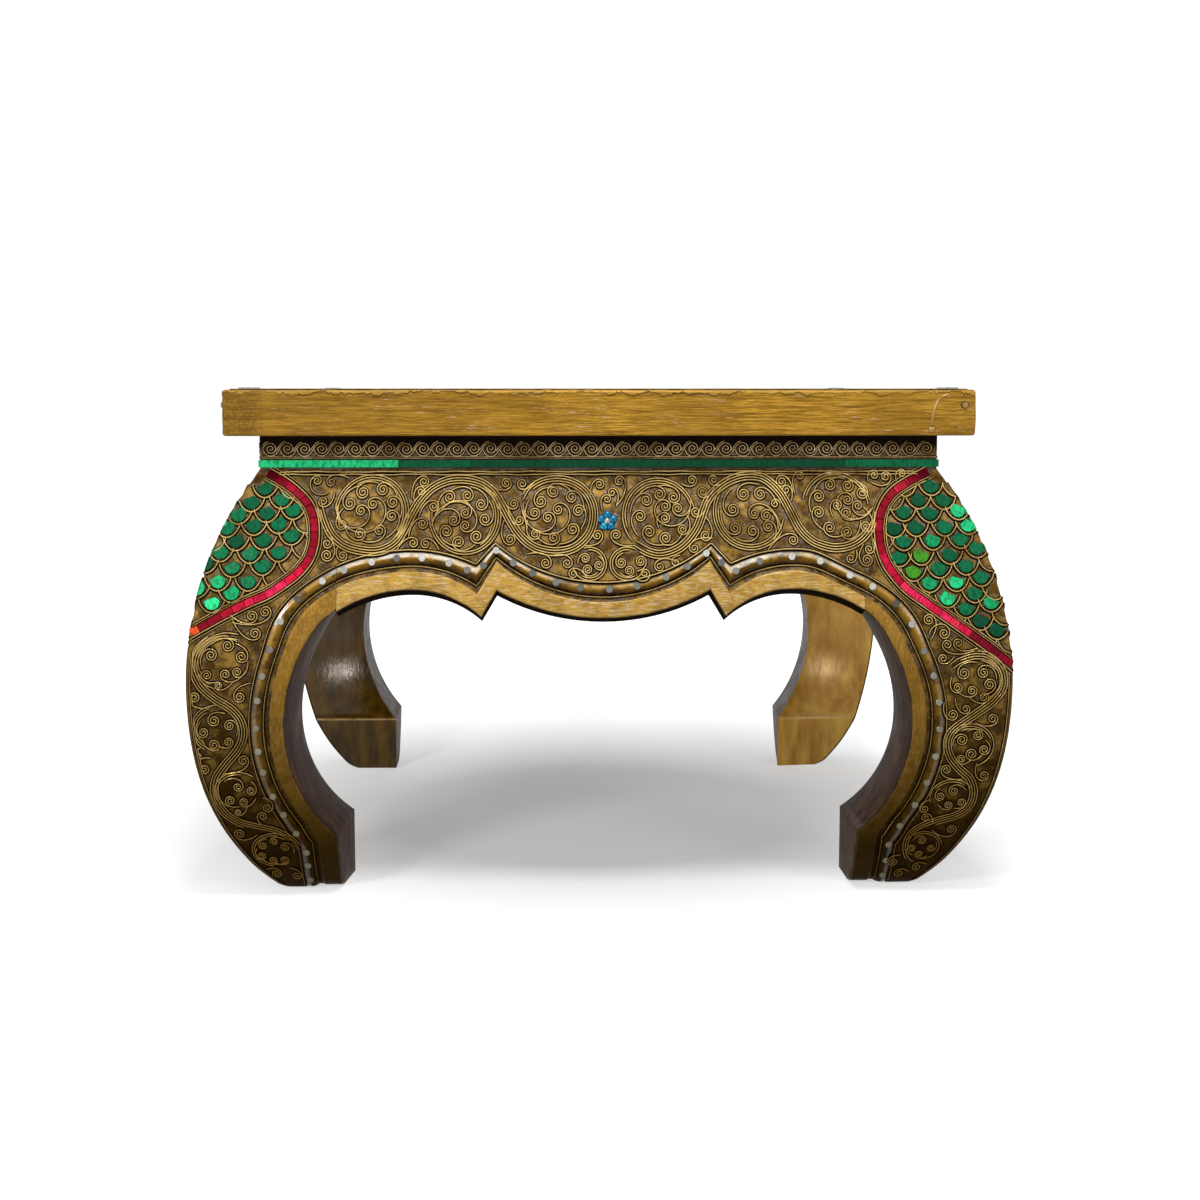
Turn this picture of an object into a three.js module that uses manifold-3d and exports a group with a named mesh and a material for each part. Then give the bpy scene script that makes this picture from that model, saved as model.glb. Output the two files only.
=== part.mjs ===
// Low square table with bowed claw legs, a leaning carved apron between each pair of them,
// a waisted neck under a thick framed top, and mirror inlay let into the four corners.
// Millimetres, +Z up, front towards -Y, origin on the floor under the middle of the table.

import * as THREE from 'three';
import { mergeVertices } from 'three/addons/utils/BufferGeometryUtils.js';
import Module from 'manifold-3d';

const wasm = await Module();
wasm.setup();

// Clearances
const fitGap = 0.3;
const socketSpare = 2;
const cutOverrun = 20;
const weldDistance = 0.0003;

// Top: three planks inside four rails that chase each other round the square
const topOverhang = 26;
const topThickness = 37;
const topRailWidth = 33;
const plankCount = 3;
const battenWidth = 45;
const battenThickness = 20;
const battenSpread = 240;

// Neck: the waist that the top stands on
const neckSetback = 2;
const neckHeight = 27.5;
const neckThickness = 32;

// Legs: each from one block, whose outside bows out to the bulge and in again to the foot
const legSpan = 420;
const legHeight = 349;
const shoulderThickness = 66;
const bulgeThickness = 118.8;
const footThickness = 53;
const bulgeHeight = 178;
const legHollow = 37.7;
const footBlockHeight = 54;

// Aprons: a leaning board, its lower edge cut to a lobe between two cusps and two arches.
// Depths run down from the shoulder.
const apronThickness = 24;
const lobeDepth = 117;
const notchHalfSpan = 84.5;
const notchDepth = 96;
const cuspHalfSpan = 98;
const cuspDepth = 114.5;
const archHalfSpan = 152;
const archDepth = 94;
const hipDepth = 111;
const soffitSlopeShare = 0.25;

// Carving: a sunk plain border and a shallow groove follow the opening between the legs
const borderWidthAtApron = 15;
const borderWidthAtLeg = 10;
const borderDepth = 4.5;
const grooveWidth = 6.5;
const grooveDepth = 2;
const borderEaseLength = 60;

// Joinery
const tenonLength = 28;
const tenonThickness = 9;
const tenonLowerShoulder = 30;
const tenonUpperShoulder = 15;
const tenonPinDiameter = 8;
const tenonPinHighShare = 0.67;
const tenonPinLowShare = 0.3;
const tenonPinReach = 6;
const pegDiameter = 10;
const pegDepthInLeg = 30;
const pegDepthInPlank = 22;
const nailHeadDiameter = 4.4;
const nailHeadThickness = 0.8;
const nailDiameter = 2.6;
const nailLength = 56;
const nailInset = 10;
const nailDrop = 12.5;

// Mirror inlay
const inlayDepth = 2.4;
const inlaySink = 0.2;
const bandWidth = 5.5;
const stripHeight = 7.8;
const stripThickness = 1.2;
const stripLift = 0.5;
const flowerHeightShare = 0.65;
const petalDiameter = 4.8;
const petalRingRadius = 5.6;
const petalCount = 5;
const flowerBackDiameter = 10;
const apronFlowerThickness = 1.3;
const topFlowerThickness = 1.7;
const topFlowerInset = 19.5;

// Middle of the red band, as shares of the way out from the leg's inner face to the bulge
// and of the way up from the hip to the shoulder. The legs on one diagonal have the low band,
// the other two the steep one.
const bandShares = {
  low: [[0.452, 0.956], [0.272, 0.833], [0.161, 0.663], [0.15, 0.468], [0.253, 0.283], [0.452, 0.135],
    [0.751, -0.015], [1.111, -0.235]],
  steep: [[0.477, 0.978], [0.225, 0.837], [0.114, 0.635], [0.112, 0.462], [0.181, 0.277], [0.38, 0.079],
    [0.651, -0.126], [1.111, -0.484]],
};

// Faces along the curves
const outerSteps = 7;
const innerSteps = 7;
const lobeSteps = 5;
const archSteps = 4;
const bandSteps = 16;
const pegFaceCount = 16;
const petalFaceCount = 12;

// Worked out from the sizes above
const half = (size) => size / 2;
const neckBottom = legHeight;
const neckTop = legHeight + neckHeight;
const topHeight = neckTop + topThickness;
const legInner = half(legSpan);
const footHalf = legInner + footThickness;
const bulgeHalf = legInner + bulgeThickness;
const shoulderHalf = legInner + shoulderThickness;
const neckHalf = shoulderHalf - neckSetback;
const topHalf = neckHalf + topOverhang;
const lobeHeight = legHeight - lobeDepth;
const hipHeight = legHeight - hipDepth;
const neckInner = neckHalf - neckThickness;
const railInner = topHalf - topRailWidth;
const pegPlace = neckHalf - half(neckThickness);
const far = bulgeHalf + cutOverrun;
const tenonBottom = hipHeight + tenonLowerShoulder;
const tenonTop = legHeight - tenonUpperShoulder;
const tenonPinHigh = THREE.MathUtils.lerp(tenonBottom, tenonTop, tenonPinHighShare);
const tenonPinLow = THREE.MathUtils.lerp(tenonBottom, tenonTop, tenonPinLowShare);
const nailHeight = topHeight - nailDrop;
const flowerHeight = THREE.MathUtils.lerp(lobeHeight, legHeight, flowerHeightShare);

// Colours of the finished surfaces
const finishes = {
  giltWood: { color: 0x8a6a26, roughness: 0.45, metalness: 0.45 },
  giltBoard: { color: 0xa67c2c, roughness: 0.5, metalness: 0.45 },
  rawWood: { color: 0x5a4636, roughness: 0.8, metalness: 0 },
  nailGilt: { color: 0xb08a3a, roughness: 0.4, metalness: 0.7 },
  greenMirror: { color: 0x0f7a4a, roughness: 0.12, metalness: 0.8 },
  redMirror: { color: 0xa0122c, roughness: 0.12, metalness: 0.8 },
  blueMirror: { color: 0x1c7fa8, roughness: 0.15, metalness: 0.7 },
};

// Closed geometry to a solid, and back again
function solidOf(geometry) {
  const plain = geometry.clone();
  plain.deleteAttribute('normal');
  plain.deleteAttribute('uv');
  const merged = mergeVertices(plain, weldDistance);
  return new wasm.Manifold(new wasm.Mesh({
    numProp: 3,
    vertProperties: new Float32Array(merged.attributes.position.array),
    triVerts: new Uint32Array(merged.index.array),
  }));
}

function geometryOf(solid) {
  const mesh = solid.getMesh();
  const geometry = new THREE.BufferGeometry();
  geometry.setAttribute('position', new THREE.BufferAttribute(mesh.vertProperties, 3));
  geometry.setIndex(new THREE.BufferAttribute(mesh.triVerts, 1));
  geometry.computeVertexNormals();
  return geometry;
}

// A block between two corners
function block(low, high) {
  const geometry = new THREE.BoxGeometry(high[0] - low[0], high[1] - low[1], high[2] - low[2]);
  geometry.translate(half(low[0] + high[0]), half(low[1] + high[1]), half(low[2] + high[2]));
  return solidOf(geometry);
}

// An outline pushed along an axis: [x, z] points run along Y, [y, z] points run along X
function prism(points, axis, from, to) {
  const shape = new THREE.Shape(points.map(([across, up]) => new THREE.Vector2(across, up)));
  const geometry = new THREE.ExtrudeGeometry(shape, { depth: to - from, bevelEnabled: false });
  const upward = new THREE.Vector3(0, 0, 1);
  const turn = new THREE.Matrix4();
  if (axis === 'x') {
    turn.makeBasis(new THREE.Vector3(0, 1, 0), upward, new THREE.Vector3(1, 0, 0));
    geometry.applyMatrix4(turn).translate(from, 0, 0);
  } else {
    turn.makeBasis(new THREE.Vector3(1, 0, 0), upward, new THREE.Vector3(0, -1, 0));
    geometry.applyMatrix4(turn).translate(0, to, 0);
  }
  return solidOf(geometry);
}

// A round bar from one point to another
function bar(diameter, from, to, faceCount) {
  const start = new THREE.Vector3(...from);
  const along = new THREE.Vector3(...to).sub(start);
  const length = along.length();
  const geometry = new THREE.CylinderGeometry(half(diameter), half(diameter), length, faceCount);
  const turn = new THREE.Quaternion().setFromUnitVectors(new THREE.Vector3(0, 1, 0), along.normalize());
  geometry.translate(0, half(length), 0).applyQuaternion(turn).translate(...from);
  return solidOf(geometry);
}

// A solid moved, turned or leaned by a matrix
function placed(solid, matrix) {
  const { vertProperties, triVerts } = solid.getMesh();
  const { array } = new THREE.BufferAttribute(vertProperties, 3).applyMatrix4(matrix);
  return new wasm.Manifold(new wasm.Mesh({ numProp: 3, vertProperties: array, triVerts }));
}

// The same solid a quarter turn on, from the front side to the right side
const quarterTurned = (solid) => placed(solid, new THREE.Matrix4().makeRotationZ(Math.PI / 2));

// Outlines with their two numbers swapped, or the first one negative
const swapped = (points) => points.map(([a, b]) => [b, a]);
const mirrored = (points) => points.map(([x, z]) => [-x, z]);

// Arc that leaves the point `level` along the first axis and ends at `end`
function arcFromLevel(level, end, steps) {
  const across = end[0] - level[0];
  const rise = end[1] - level[1];
  const radius = (across ** 2 + rise ** 2) / (2 * rise);
  const sweep = Math.asin(across / radius);
  const points = [];
  for (let i = 0; i <= steps; i += 1) {
    const angle = (sweep * i) / steps;
    points.push([level[0] + radius * Math.sin(angle), level[1] + radius * (1 - Math.cos(angle))]);
  }
  return points;
}

// Outer curve of legs and aprons, from the floor to the shoulder, as [distance out, height]
function outerCurve() {
  const bulge = [bulgeHeight, bulgeHalf];
  const down = arcFromLevel(bulge, [0, footHalf], outerSteps);
  const up = arcFromLevel(bulge, [legHeight, shoulderHalf], outerSteps);
  return swapped([...down.reverse(), ...up.slice(1)]);
}

const outer = outerCurve();

// Inner edge of a leg from the hip down to the floor
function legEdge() {
  const waist = [half(hipHeight + footBlockHeight), legInner + legHollow];
  const up = arcFromLevel(waist, [hipHeight, legInner], innerSteps);
  const down = arcFromLevel(waist, [footBlockHeight, legInner], innerSteps);
  return [...swapped([...up.reverse(), ...down.slice(1)]), [legInner, 0]];
}

// Lower edge of an apron from its middle to the hip
function apronEdge() {
  const arch = [archHalfSpan, legHeight - archDepth];
  return [
    ...arcFromLevel([0, lobeHeight], [notchHalfSpan, legHeight - notchDepth], lobeSteps),
    ...arcFromLevel(arch, [cuspHalfSpan, legHeight - cuspDepth], archSteps).reverse(),
    ...arcFromLevel(arch, [legInner, hipHeight], archSteps).slice(1),
  ];
}

// Moves each point of an open line sideways, to its left, by its own distance
function movedSideways(points, distanceAt) {
  return points.map((point, i) => {
    const before = points[Math.max(i - 1, 0)];
    const after = points[Math.min(i + 1, points.length - 1)];
    const first = new THREE.Vector2(point[0] - before[0], point[1] - before[1]);
    const second = new THREE.Vector2(after[0] - point[0], after[1] - point[1]);
    const along = first.lengthSq() > 0 ? first.normalize() : second.clone().normalize();
    const next = second.lengthSq() > 0 ? second.normalize() : along.clone();
    const normal = new THREE.Vector2(-along.y - next.y, along.x + next.x).normalize();
    const mitre = distanceAt(point) / (normal.x * -along.y + normal.y * along.x);
    return [point[0] + normal.x * mitre, point[1] + normal.y * mitre];
  });
}

// The opening between two legs, grown by the border's width and some more
function grownOpening(more) {
  const edge = [...apronEdge(), ...legEdge().slice(1)];
  const edgeBothWays = [...mirrored(edge.slice(1)).reverse(), ...edge];
  const widthAt = ([, height]) => {
    const ease = THREE.MathUtils.clamp((hipHeight - height) / borderEaseLength, 0, 1);
    return THREE.MathUtils.lerp(borderWidthAtApron, borderWidthAtLeg, ease) + more;
  };
  const grown = movedSideways(edgeBothWays, widthAt);
  const last = grown[grown.length - 1];
  return [[-last[0], -cutOverrun], ...grown, [last[0], -cutOverrun]];
}

// What lies less than `depth` under the front surface, or outside it
function frontSkin(depth) {
  const low = [-(outer[0][0] - depth), -cutOverrun];
  const high = [-(outer[outer.length - 1][0] - depth), legHeight + cutOverrun];
  const surface = outer.map(([out, height]) => [-(out - depth), height]);
  return prism([[-far, -cutOverrun], low, ...surface, high, [-far, legHeight + cutOverrun]], 'x', -far, far);
}

// The sunk border and the groove beside it, for the front side
function frontCarving() {
  const border = prism(grownOpening(0), 'y', -far, 0).intersect(frontSkin(borderDepth));
  const groove = prism(grownOpening(grooveWidth), 'y', -far, 0).intersect(frontSkin(grooveDepth));
  return border.add(groove);
}

const carving = frontCarving();
const carvingOnBothFaces = carving.add(quarterTurned(carving));

// The apron leans as its board does: from the shoulder to the lobe
function outAt(height) {
  const above = outer.findIndex(([, z]) => z >= height);
  const [outHigh, high] = outer[above];
  const [outLow, low] = outer[above - 1];
  return THREE.MathUtils.mapLinear(height, low, high, outLow, outHigh);
}

const apronLeanShare = (outAt(lobeHeight) - shoulderHalf) / (legHeight - lobeHeight);

// Distance of the apron's flat back from the middle of the table
const apronBack = (height) => shoulderHalf - apronThickness + apronLeanShare * (legHeight - height);

// Distance of the middle of the tenons
const tenonMiddle = (height) => apronBack(height) + half(apronThickness);

// A slab through both tenons of the front apron, with `gap` all round
function tenonSlab(gap, spare) {
  const low = tenonBottom - gap;
  const high = tenonTop + gap;
  const side = half(tenonThickness) + gap;
  const corners = [
    [-tenonMiddle(low) - side, low],
    [-tenonMiddle(low) + side, low],
    [-tenonMiddle(high) + side, high],
    [-tenonMiddle(high) - side, high],
  ];
  const reach = legInner + tenonLength + spare;
  return prism(corners, 'x', -reach, reach);
}

// The pin through the front apron's tenon at one end: end is 1 at the right, -1 at the left
function tenonPin(end, gap) {
  const height = end > 0 ? tenonPinHigh : tenonPinLow;
  const across = end * (legInner + half(tenonLength));
  const reach = tenonMiddle(height) + half(tenonThickness) + tenonPinReach + gap;
  const start = gap > 0 ? legInner - cutOverrun : legInner;
  return bar(tenonPinDiameter + 2 * gap, [across, -start, height], [across, -reach, height], pegFaceCount);
}

// The peg that ties the front right leg, the neck and the top together
function cornerPeg(gap) {
  const low = [pegPlace, -pegPlace, legHeight - pegDepthInLeg - gap];
  const high = [pegPlace, -pegPlace, neckTop + pegDepthInPlank + gap];
  return bar(pegDiameter + 2 * gap, low, high, pegFaceCount);
}

// The nail that holds the front top rail to the end of the right one
function railNail(gap) {
  const across = topHalf - nailInset;
  const shank = bar(
    nailDiameter + 2 * gap,
    [across, -topHalf - fitGap - half(nailHeadThickness), nailHeight],
    [across, -topHalf + nailLength + gap, nailHeight],
    pegFaceCount,
  );
  if (gap > 0) return shank;
  const head = bar(
    nailHeadDiameter,
    [across, -topHalf - fitGap - nailHeadThickness, nailHeight],
    [across, -topHalf - fitGap, nailHeight],
    pegFaceCount,
  );
  return shank.add(head);
}

// Middle line of the red band on the right end of the front, from the shoulder to the arris
function bandLine(kind) {
  const places = bandShares[kind].map(([across, up]) => new THREE.Vector3(
    THREE.MathUtils.lerp(legInner, bulgeHalf, across),
    THREE.MathUtils.lerp(hipHeight, legHeight, up),
    0,
  ));
  const curve = new THREE.CatmullRomCurve3(places);
  return curve.getPoints(bandSteps).map(({ x, y }) => [x, y]);
}

// Outline between the band line moved by `inside` and the far side of the corner
function cornerRegion(kind, inside) {
  const line = movedSideways(bandLine(kind), () => inside);
  const top = legHeight + cutOverrun;
  return [[line[0][0], top], ...line, [far, line[line.length - 1][1]], [far, top]];
}

// A corner region laid on the front face and on the right face, `depth` under the surface
function onBothFaces(region, depth) {
  const front = prism(region, 'y', -far, 0).intersect(frontSkin(depth));
  const side = prism(region.map(([across, up]) => [-across, up]), 'x', 0, far)
    .intersect(quarterTurned(frontSkin(depth)));
  return front.add(side);
}

// The leg's outside, sunk by `depth`
function legEnvelope(depth) {
  const surface = outer.map(([out, height]) => [out - depth, height]);
  const outline = [[0, 0], ...surface, [0, legHeight]];
  return prism(outline, 'y', -far, 0).intersect(prism(mirrored(outline), 'x', 0, far));
}

// Legs: sawn to the same curve on both faces
function leg(kind) {
  const outline = [...outer, [legInner, legHeight], ...legEdge()];
  const sawn = prism(outline, 'y', -far, 0).intersect(prism(mirrored(outline), 'x', 0, far));
  const bed = onBothFaces(cornerRegion(kind, -half(bandWidth) - fitGap), inlayDepth);
  const mortise = tenonSlab(fitGap, socketSpare);
  return sawn
    .subtract(carvingOnBothFaces)
    .subtract(bed)
    .subtract(mortise)
    .subtract(quarterTurned(mortise))
    .subtract(tenonPin(1, fitGap))
    .subtract(quarterTurned(tenonPin(-1, fitGap)))
    .subtract(cornerPeg(fitGap));
}

// Aprons: the shaped board with a tenon at each end
function apron() {
  const reach = legInner - fitGap;
  const halfEdge = apronEdge();
  halfEdge[halfEdge.length - 1] = [reach, hipHeight];
  const edge = [...mirrored(halfEdge.slice(1)).reverse(), ...halfEdge];
  const outline = [...edge, [reach, legHeight + cutOverrun * 2], [-reach, legHeight + cutOverrun * 2]];
  const lowest = lobeHeight - apronThickness;
  const lean = new THREE.Matrix4().makeTranslation(0, -outAt(lobeHeight), 0)
    .multiply(new THREE.Matrix4().makeShear(0, 0, 0, -soffitSlopeShare, 0, 0))
    .multiply(new THREE.Matrix4().makeTranslation(0, outAt(lobeHeight), 0));
  const board = placed(prism(outline, 'y', -far, 0), lean);
  const front = prism([[0, 0], ...mirrored(outer), [0, legHeight]], 'x', -far, far);
  const back = prism(
    [[-far, lowest], [-apronBack(lowest), lowest], [-apronBack(legHeight), legHeight], [-far, legHeight]],
    'x',
    -far,
    far,
  );
  return board
    .intersect(front)
    .intersect(back)
    .subtract(carving)
    .add(tenonSlab(0, 0))
    .subtract(tenonPin(1, fitGap))
    .subtract(tenonPin(-1, fitGap));
}

// Neck rails: the front one covers the end of the right one
function neckRail() {
  const rail = block([-neckInner + fitGap, -neckHalf, neckBottom], [neckHalf, -neckInner, neckTop]);
  return rail.subtract(cornerPeg(fitGap));
}

// Top rails: the front one covers the end of the right one and is nailed to it
function topRail() {
  const rail = block([-railInner + fitGap, -topHalf, neckTop], [topHalf, -railInner, topHeight]);
  const nailHole = railNail(fitGap);
  const holeFromNextRail = placed(nailHole, new THREE.Matrix4().makeRotationZ(-Math.PI / 2));
  return rail.subtract(nailHole).subtract(holeFromNextRail);
}

// Top planks, numbered from the front
function plank(index) {
  const reach = railInner - fitGap;
  const width = (2 * reach - (plankCount - 1) * fitGap) / plankCount;
  const front = -reach + index * (width + fitGap);
  let board = block([-reach, front, neckTop], [reach, front + width, topHeight]);
  let peg = cornerPeg(fitGap);
  for (let corner = 0; corner < 4; corner += 1) {
    board = board.subtract(peg);
    peg = quarterTurned(peg);
  }
  return board;
}

// Battens across the underside of the planks, between the neck rails
function batten(side) {
  const middle = side * half(battenSpread);
  const reach = neckInner - fitGap;
  return block(
    [middle - half(battenWidth), -reach, neckTop - battenThickness],
    [middle + half(battenWidth), reach, neckTop],
  );
}

// Green strip along the foot of the neck
function greenStrip() {
  const face = -neckHalf - fitGap;
  const low = neckBottom + stripLift;
  return block([-neckHalf, face - stripThickness, low], [-face + stripThickness, face, low + stripHeight]);
}

// Belt along the band line round the corner of a leg, with `gap` on both edges and below
function belt(kind, gap) {
  const middle = bandLine(kind);
  const one = movedSideways(middle, () => half(bandWidth) + gap);
  const other = movedSideways(middle, () => -half(bandWidth) - gap);
  return onBothFaces([...one, ...other.reverse()], inlayDepth - fitGap + gap);
}

// Red band of the corner inlay
function redBand(kind) {
  return belt(kind, 0).intersect(legEnvelope(inlaySink));
}

// Scale panel: the bed of green mirror tiles inside the red band
function scalePanel(kind) {
  const bed = onBothFaces(cornerRegion(kind, half(bandWidth) + fitGap), inlayDepth - fitGap);
  return bed.intersect(legEnvelope(inlaySink)).subtract(belt(kind, fitGap));
}

// Five round petals about a middle disc, on their back at z = 0
function flower(thickness) {
  let petals = bar(flowerBackDiameter, [0, 0, 0], [0, 0, thickness], petalFaceCount);
  for (let i = 0; i < petalCount; i += 1) {
    const angle = Math.PI / 2 + (2 * Math.PI * i) / petalCount;
    const across = petalRingRadius * Math.cos(angle);
    const up = petalRingRadius * Math.sin(angle);
    petals = petals.add(bar(petalDiameter, [across, up, 0], [across, up, thickness], petalFaceCount));
  }
  return petals;
}

// Meshes and their places
const table = new THREE.Group();

function mesh(name, solid, finish) {
  const made = new THREE.Mesh(geometryOf(solid), new THREE.MeshStandardMaterial(finish));
  made.name = name;
  return made;
}

const sides = ['front', 'right', 'back', 'left'];
const corners = ['front_right', 'back_right', 'back_left', 'front_left'];

// What each side carries, drawn for the front and turned with its group
function sideGroup(side, turns) {
  const group = new THREE.Group();
  const flowerTilt = Math.atan2(outAt(flowerHeight - petalRingRadius) - outAt(flowerHeight + petalRingRadius),
    2 * petalRingRadius);
  const apronFlower = mesh(`apron_flower_${side}`, flower(apronFlowerThickness), finishes.blueMirror);
  apronFlower.rotation.x = Math.PI / 2 - flowerTilt;
  apronFlower.position.set(0, -outAt(flowerHeight) - fitGap, flowerHeight);
  group.add(
    mesh(`top_rail_${side}`, topRail(), finishes.giltBoard),
    mesh(`rail_nail_${side}`, railNail(0), finishes.nailGilt),
    mesh(`neck_rail_${side}`, neckRail(), finishes.giltWood),
    mesh(`green_strip_${side}`, greenStrip(), finishes.greenMirror),
    mesh(`apron_${side}`, apron(), finishes.giltWood),
    mesh(`tenon_pin_${side}_right`, tenonPin(1, 0), finishes.rawWood),
    mesh(`tenon_pin_${side}_left`, tenonPin(-1, 0), finishes.rawWood),
    apronFlower,
  );
  group.rotation.z = (turns * Math.PI) / 2;
  return group;
}

// What each corner carries, drawn for the front right and turned with its group
function cornerGroup(corner, turns) {
  const group = new THREE.Group();
  const kind = turns % 2 === 0 ? 'steep' : 'low';
  const topFlower = mesh(`top_flower_${corner}`, flower(topFlowerThickness), finishes.blueMirror);
  topFlower.position.set(topHalf - topFlowerInset, -topHalf + topFlowerInset, topHeight + fitGap);
  group.add(
    mesh(`leg_${corner}`, leg(kind), finishes.giltWood),
    mesh(`corner_peg_${corner}`, cornerPeg(0), finishes.rawWood),
    mesh(`red_band_${corner}`, redBand(kind), finishes.redMirror),
    mesh(`scale_panel_${corner}`, scalePanel(kind), finishes.greenMirror),
    topFlower,
  );
  group.rotation.z = (turns * Math.PI) / 2;
  return group;
}

sides.forEach((side, turns) => table.add(sideGroup(side, turns)));
corners.forEach((corner, turns) => table.add(cornerGroup(corner, turns)));
for (let i = 0; i < plankCount; i += 1) {
  table.add(mesh(`top_plank_${i + 1}`, plank(i), finishes.giltBoard));
}
table.add(mesh('batten_left', batten(-1), finishes.rawWood));
table.add(mesh('batten_right', batten(1), finishes.rawWood));

export default table;
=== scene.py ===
"""Gilt low table with claw legs: carved boards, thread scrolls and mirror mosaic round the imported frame."""
from __future__ import annotations

import logging
import math
import random
from dataclasses import dataclass, field
from enum import Enum
from typing import Callable, Sequence

import bmesh
import bpy
import numpy as np
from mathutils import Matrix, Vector, noise


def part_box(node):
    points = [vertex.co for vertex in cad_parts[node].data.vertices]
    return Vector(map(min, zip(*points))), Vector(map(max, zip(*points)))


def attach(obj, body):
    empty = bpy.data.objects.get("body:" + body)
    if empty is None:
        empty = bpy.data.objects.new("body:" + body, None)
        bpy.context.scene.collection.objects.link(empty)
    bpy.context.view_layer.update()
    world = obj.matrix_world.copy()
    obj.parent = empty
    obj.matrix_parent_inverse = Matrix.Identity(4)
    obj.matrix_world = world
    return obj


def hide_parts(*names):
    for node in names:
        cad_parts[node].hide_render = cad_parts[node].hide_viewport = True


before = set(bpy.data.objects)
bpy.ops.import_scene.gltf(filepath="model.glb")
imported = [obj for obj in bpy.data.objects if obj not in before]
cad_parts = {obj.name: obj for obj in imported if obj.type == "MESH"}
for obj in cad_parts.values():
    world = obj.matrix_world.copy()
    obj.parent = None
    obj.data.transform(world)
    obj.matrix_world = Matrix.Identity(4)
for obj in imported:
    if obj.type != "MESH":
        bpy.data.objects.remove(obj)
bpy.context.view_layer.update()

# Lengths are in millimetres, apart from the finishes, the lamps and the camera, which are in metres

MM = 0.001
BODY = "root"
HIP = 210.0
BOARD_TOP = 349.0
TOP_HALF = 300.0
TOP_FACE = 413.5
NECK_HALF = 274.0
GROUND_DEPTH = 1.6
THREAD_PITCH = 2.05
WAVE_PITCH = 13.6
BURIED = (1.0, -.3)
TILE_CREASE = 12.0
SIDES = ("front", "right", "back", "left")
CORNERS = ("front_right", "back_right", "back_left", "front_left")

Point = tuple[float, float]
Tint = tuple[float, float, float, float]
Lay = Callable[[np.ndarray, np.ndarray, np.ndarray], np.ndarray]
Material = bpy.types.Material
Socket = bpy.types.NodeSocket
log = logging.getLogger("table")


class LegKind(Enum):
    """How the red band crosses a leg: both faces of a leg share one kind."""

    LOW = "low"
    STEEP = "steep"


class Slot(Enum):
    """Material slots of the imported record."""

    BOARD = "gilt_board"
    CARVING = "gilt_carving"
    NAIL = "gilt_nail"
    GREEN = "green_mirror"
    RED = "red_mirror"
    BLUE = "blue_mirror"


def linear(red: int, green: int, blue: int) -> Tint:
    """Scene linear colour of an 8 bit display colour."""
    shares = [((c / 255 + .055) / 1.055) ** 2.4 if c > 10 else c / 3294.6 for c in (red, green, blue)]
    return (*shares, 1.0)


def eased(value: np.ndarray, low: float, high: float) -> np.ndarray:
    """Rises smoothly from 0 at `low` to 1 at `high`."""
    share = np.clip((value - low) / (high - low), 0, 1)
    return share * share * (3 - 2 * share)


def halved(low: np.ndarray, high: np.ndarray, short: Callable[[np.ndarray], np.ndarray]) -> np.ndarray:
    """Finds where a test changes its answer, by halving.

    Args:
        low: Values at which the test holds.
        high: Values at which it doesn't.
        short: The test.

    Returns:
        The values between them where it stops holding.
    """
    for _ in range(30):
        middle = (low + high) / 2
        inside = short(middle)
        low, high = np.where(inside, middle, low), np.where(inside, high, middle)
    return high


# The bowed outline, the shaped opening and the moulding

@dataclass(frozen=True)
class Bow:
    """Outer curve of legs and aprons: two arcs that meet upright at the widest height."""

    widest: float = 178.0
    reach: float = 328.8
    shoulder_drop: float = 171.0
    shoulder_fall: float = 52.8
    foot_fall: float = 65.8
    foot_round: float = 6.0
    foot_tuck: float = 3.5
    foot_full: float = 4.0

    def _radius(self, drop: float, fall: float) -> float:
        """Radius of the arc that falls back by `fall` over the height `drop`."""
        return (drop * drop + fall * fall) / (2 * fall)

    def out(self, height: np.ndarray) -> np.ndarray:
        """Distance of the crest of the relief from the middle of the table.

        Args:
            height: Heights over the floor.

        Returns:
            The distance at each height.
        """
        z = np.asarray(height, float)
        radius = np.where(z > self.widest, self._radius(self.shoulder_drop, self.shoulder_fall),
                          self._radius(self.widest, self.foot_fall))
        rise = np.clip(z - self.widest, -radius + 1, radius - 1)
        rounded = np.clip((self.foot_round - z) / self.foot_round, 0, 1)
        fuller = self.foot_full * eased(z, -20, 30) * (1 - eased(z, 50, self.widest))
        return (self.reach - (radius - np.sqrt(radius ** 2 - rise ** 2)) + fuller
                - self.foot_tuck * (1 - np.sqrt(1 - .98 * rounded ** 2)))

    def slope(self, height: np.ndarray) -> np.ndarray:
        """Change of `out` with height."""
        return self.out(np.asarray(height) + .5) - self.out(np.asarray(height) - .5)

    def lay(self, x: np.ndarray, z: np.ndarray, lift: np.ndarray) -> np.ndarray:
        """Points of the front face, lifted along the normal from the ground of the relief.

        Args:
            x: Distance to the right of the middle.
            z: Height over the floor.
            lift: Distance in front of the ground of the relief.

        Returns:
            One row of x, y, z for each point.
        """
        slope = self.slope(z)
        length = np.sqrt(1 + slope ** 2)
        y = -(self.out(z) - GROUND_DEPTH) - lift / length
        return np.stack([x, y, z - lift * slope / length], axis=1)

    def level(self, x: np.ndarray, z: np.ndarray, lift: np.ndarray) -> np.ndarray:
        """As `lay`, but each point keeps its height, so that the rows of a block stay level."""
        y = -(self.out(z) - GROUND_DEPTH) - lift * np.sqrt(1 + self.slope(z) ** 2)
        return np.stack([x, y, z], axis=1)


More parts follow.
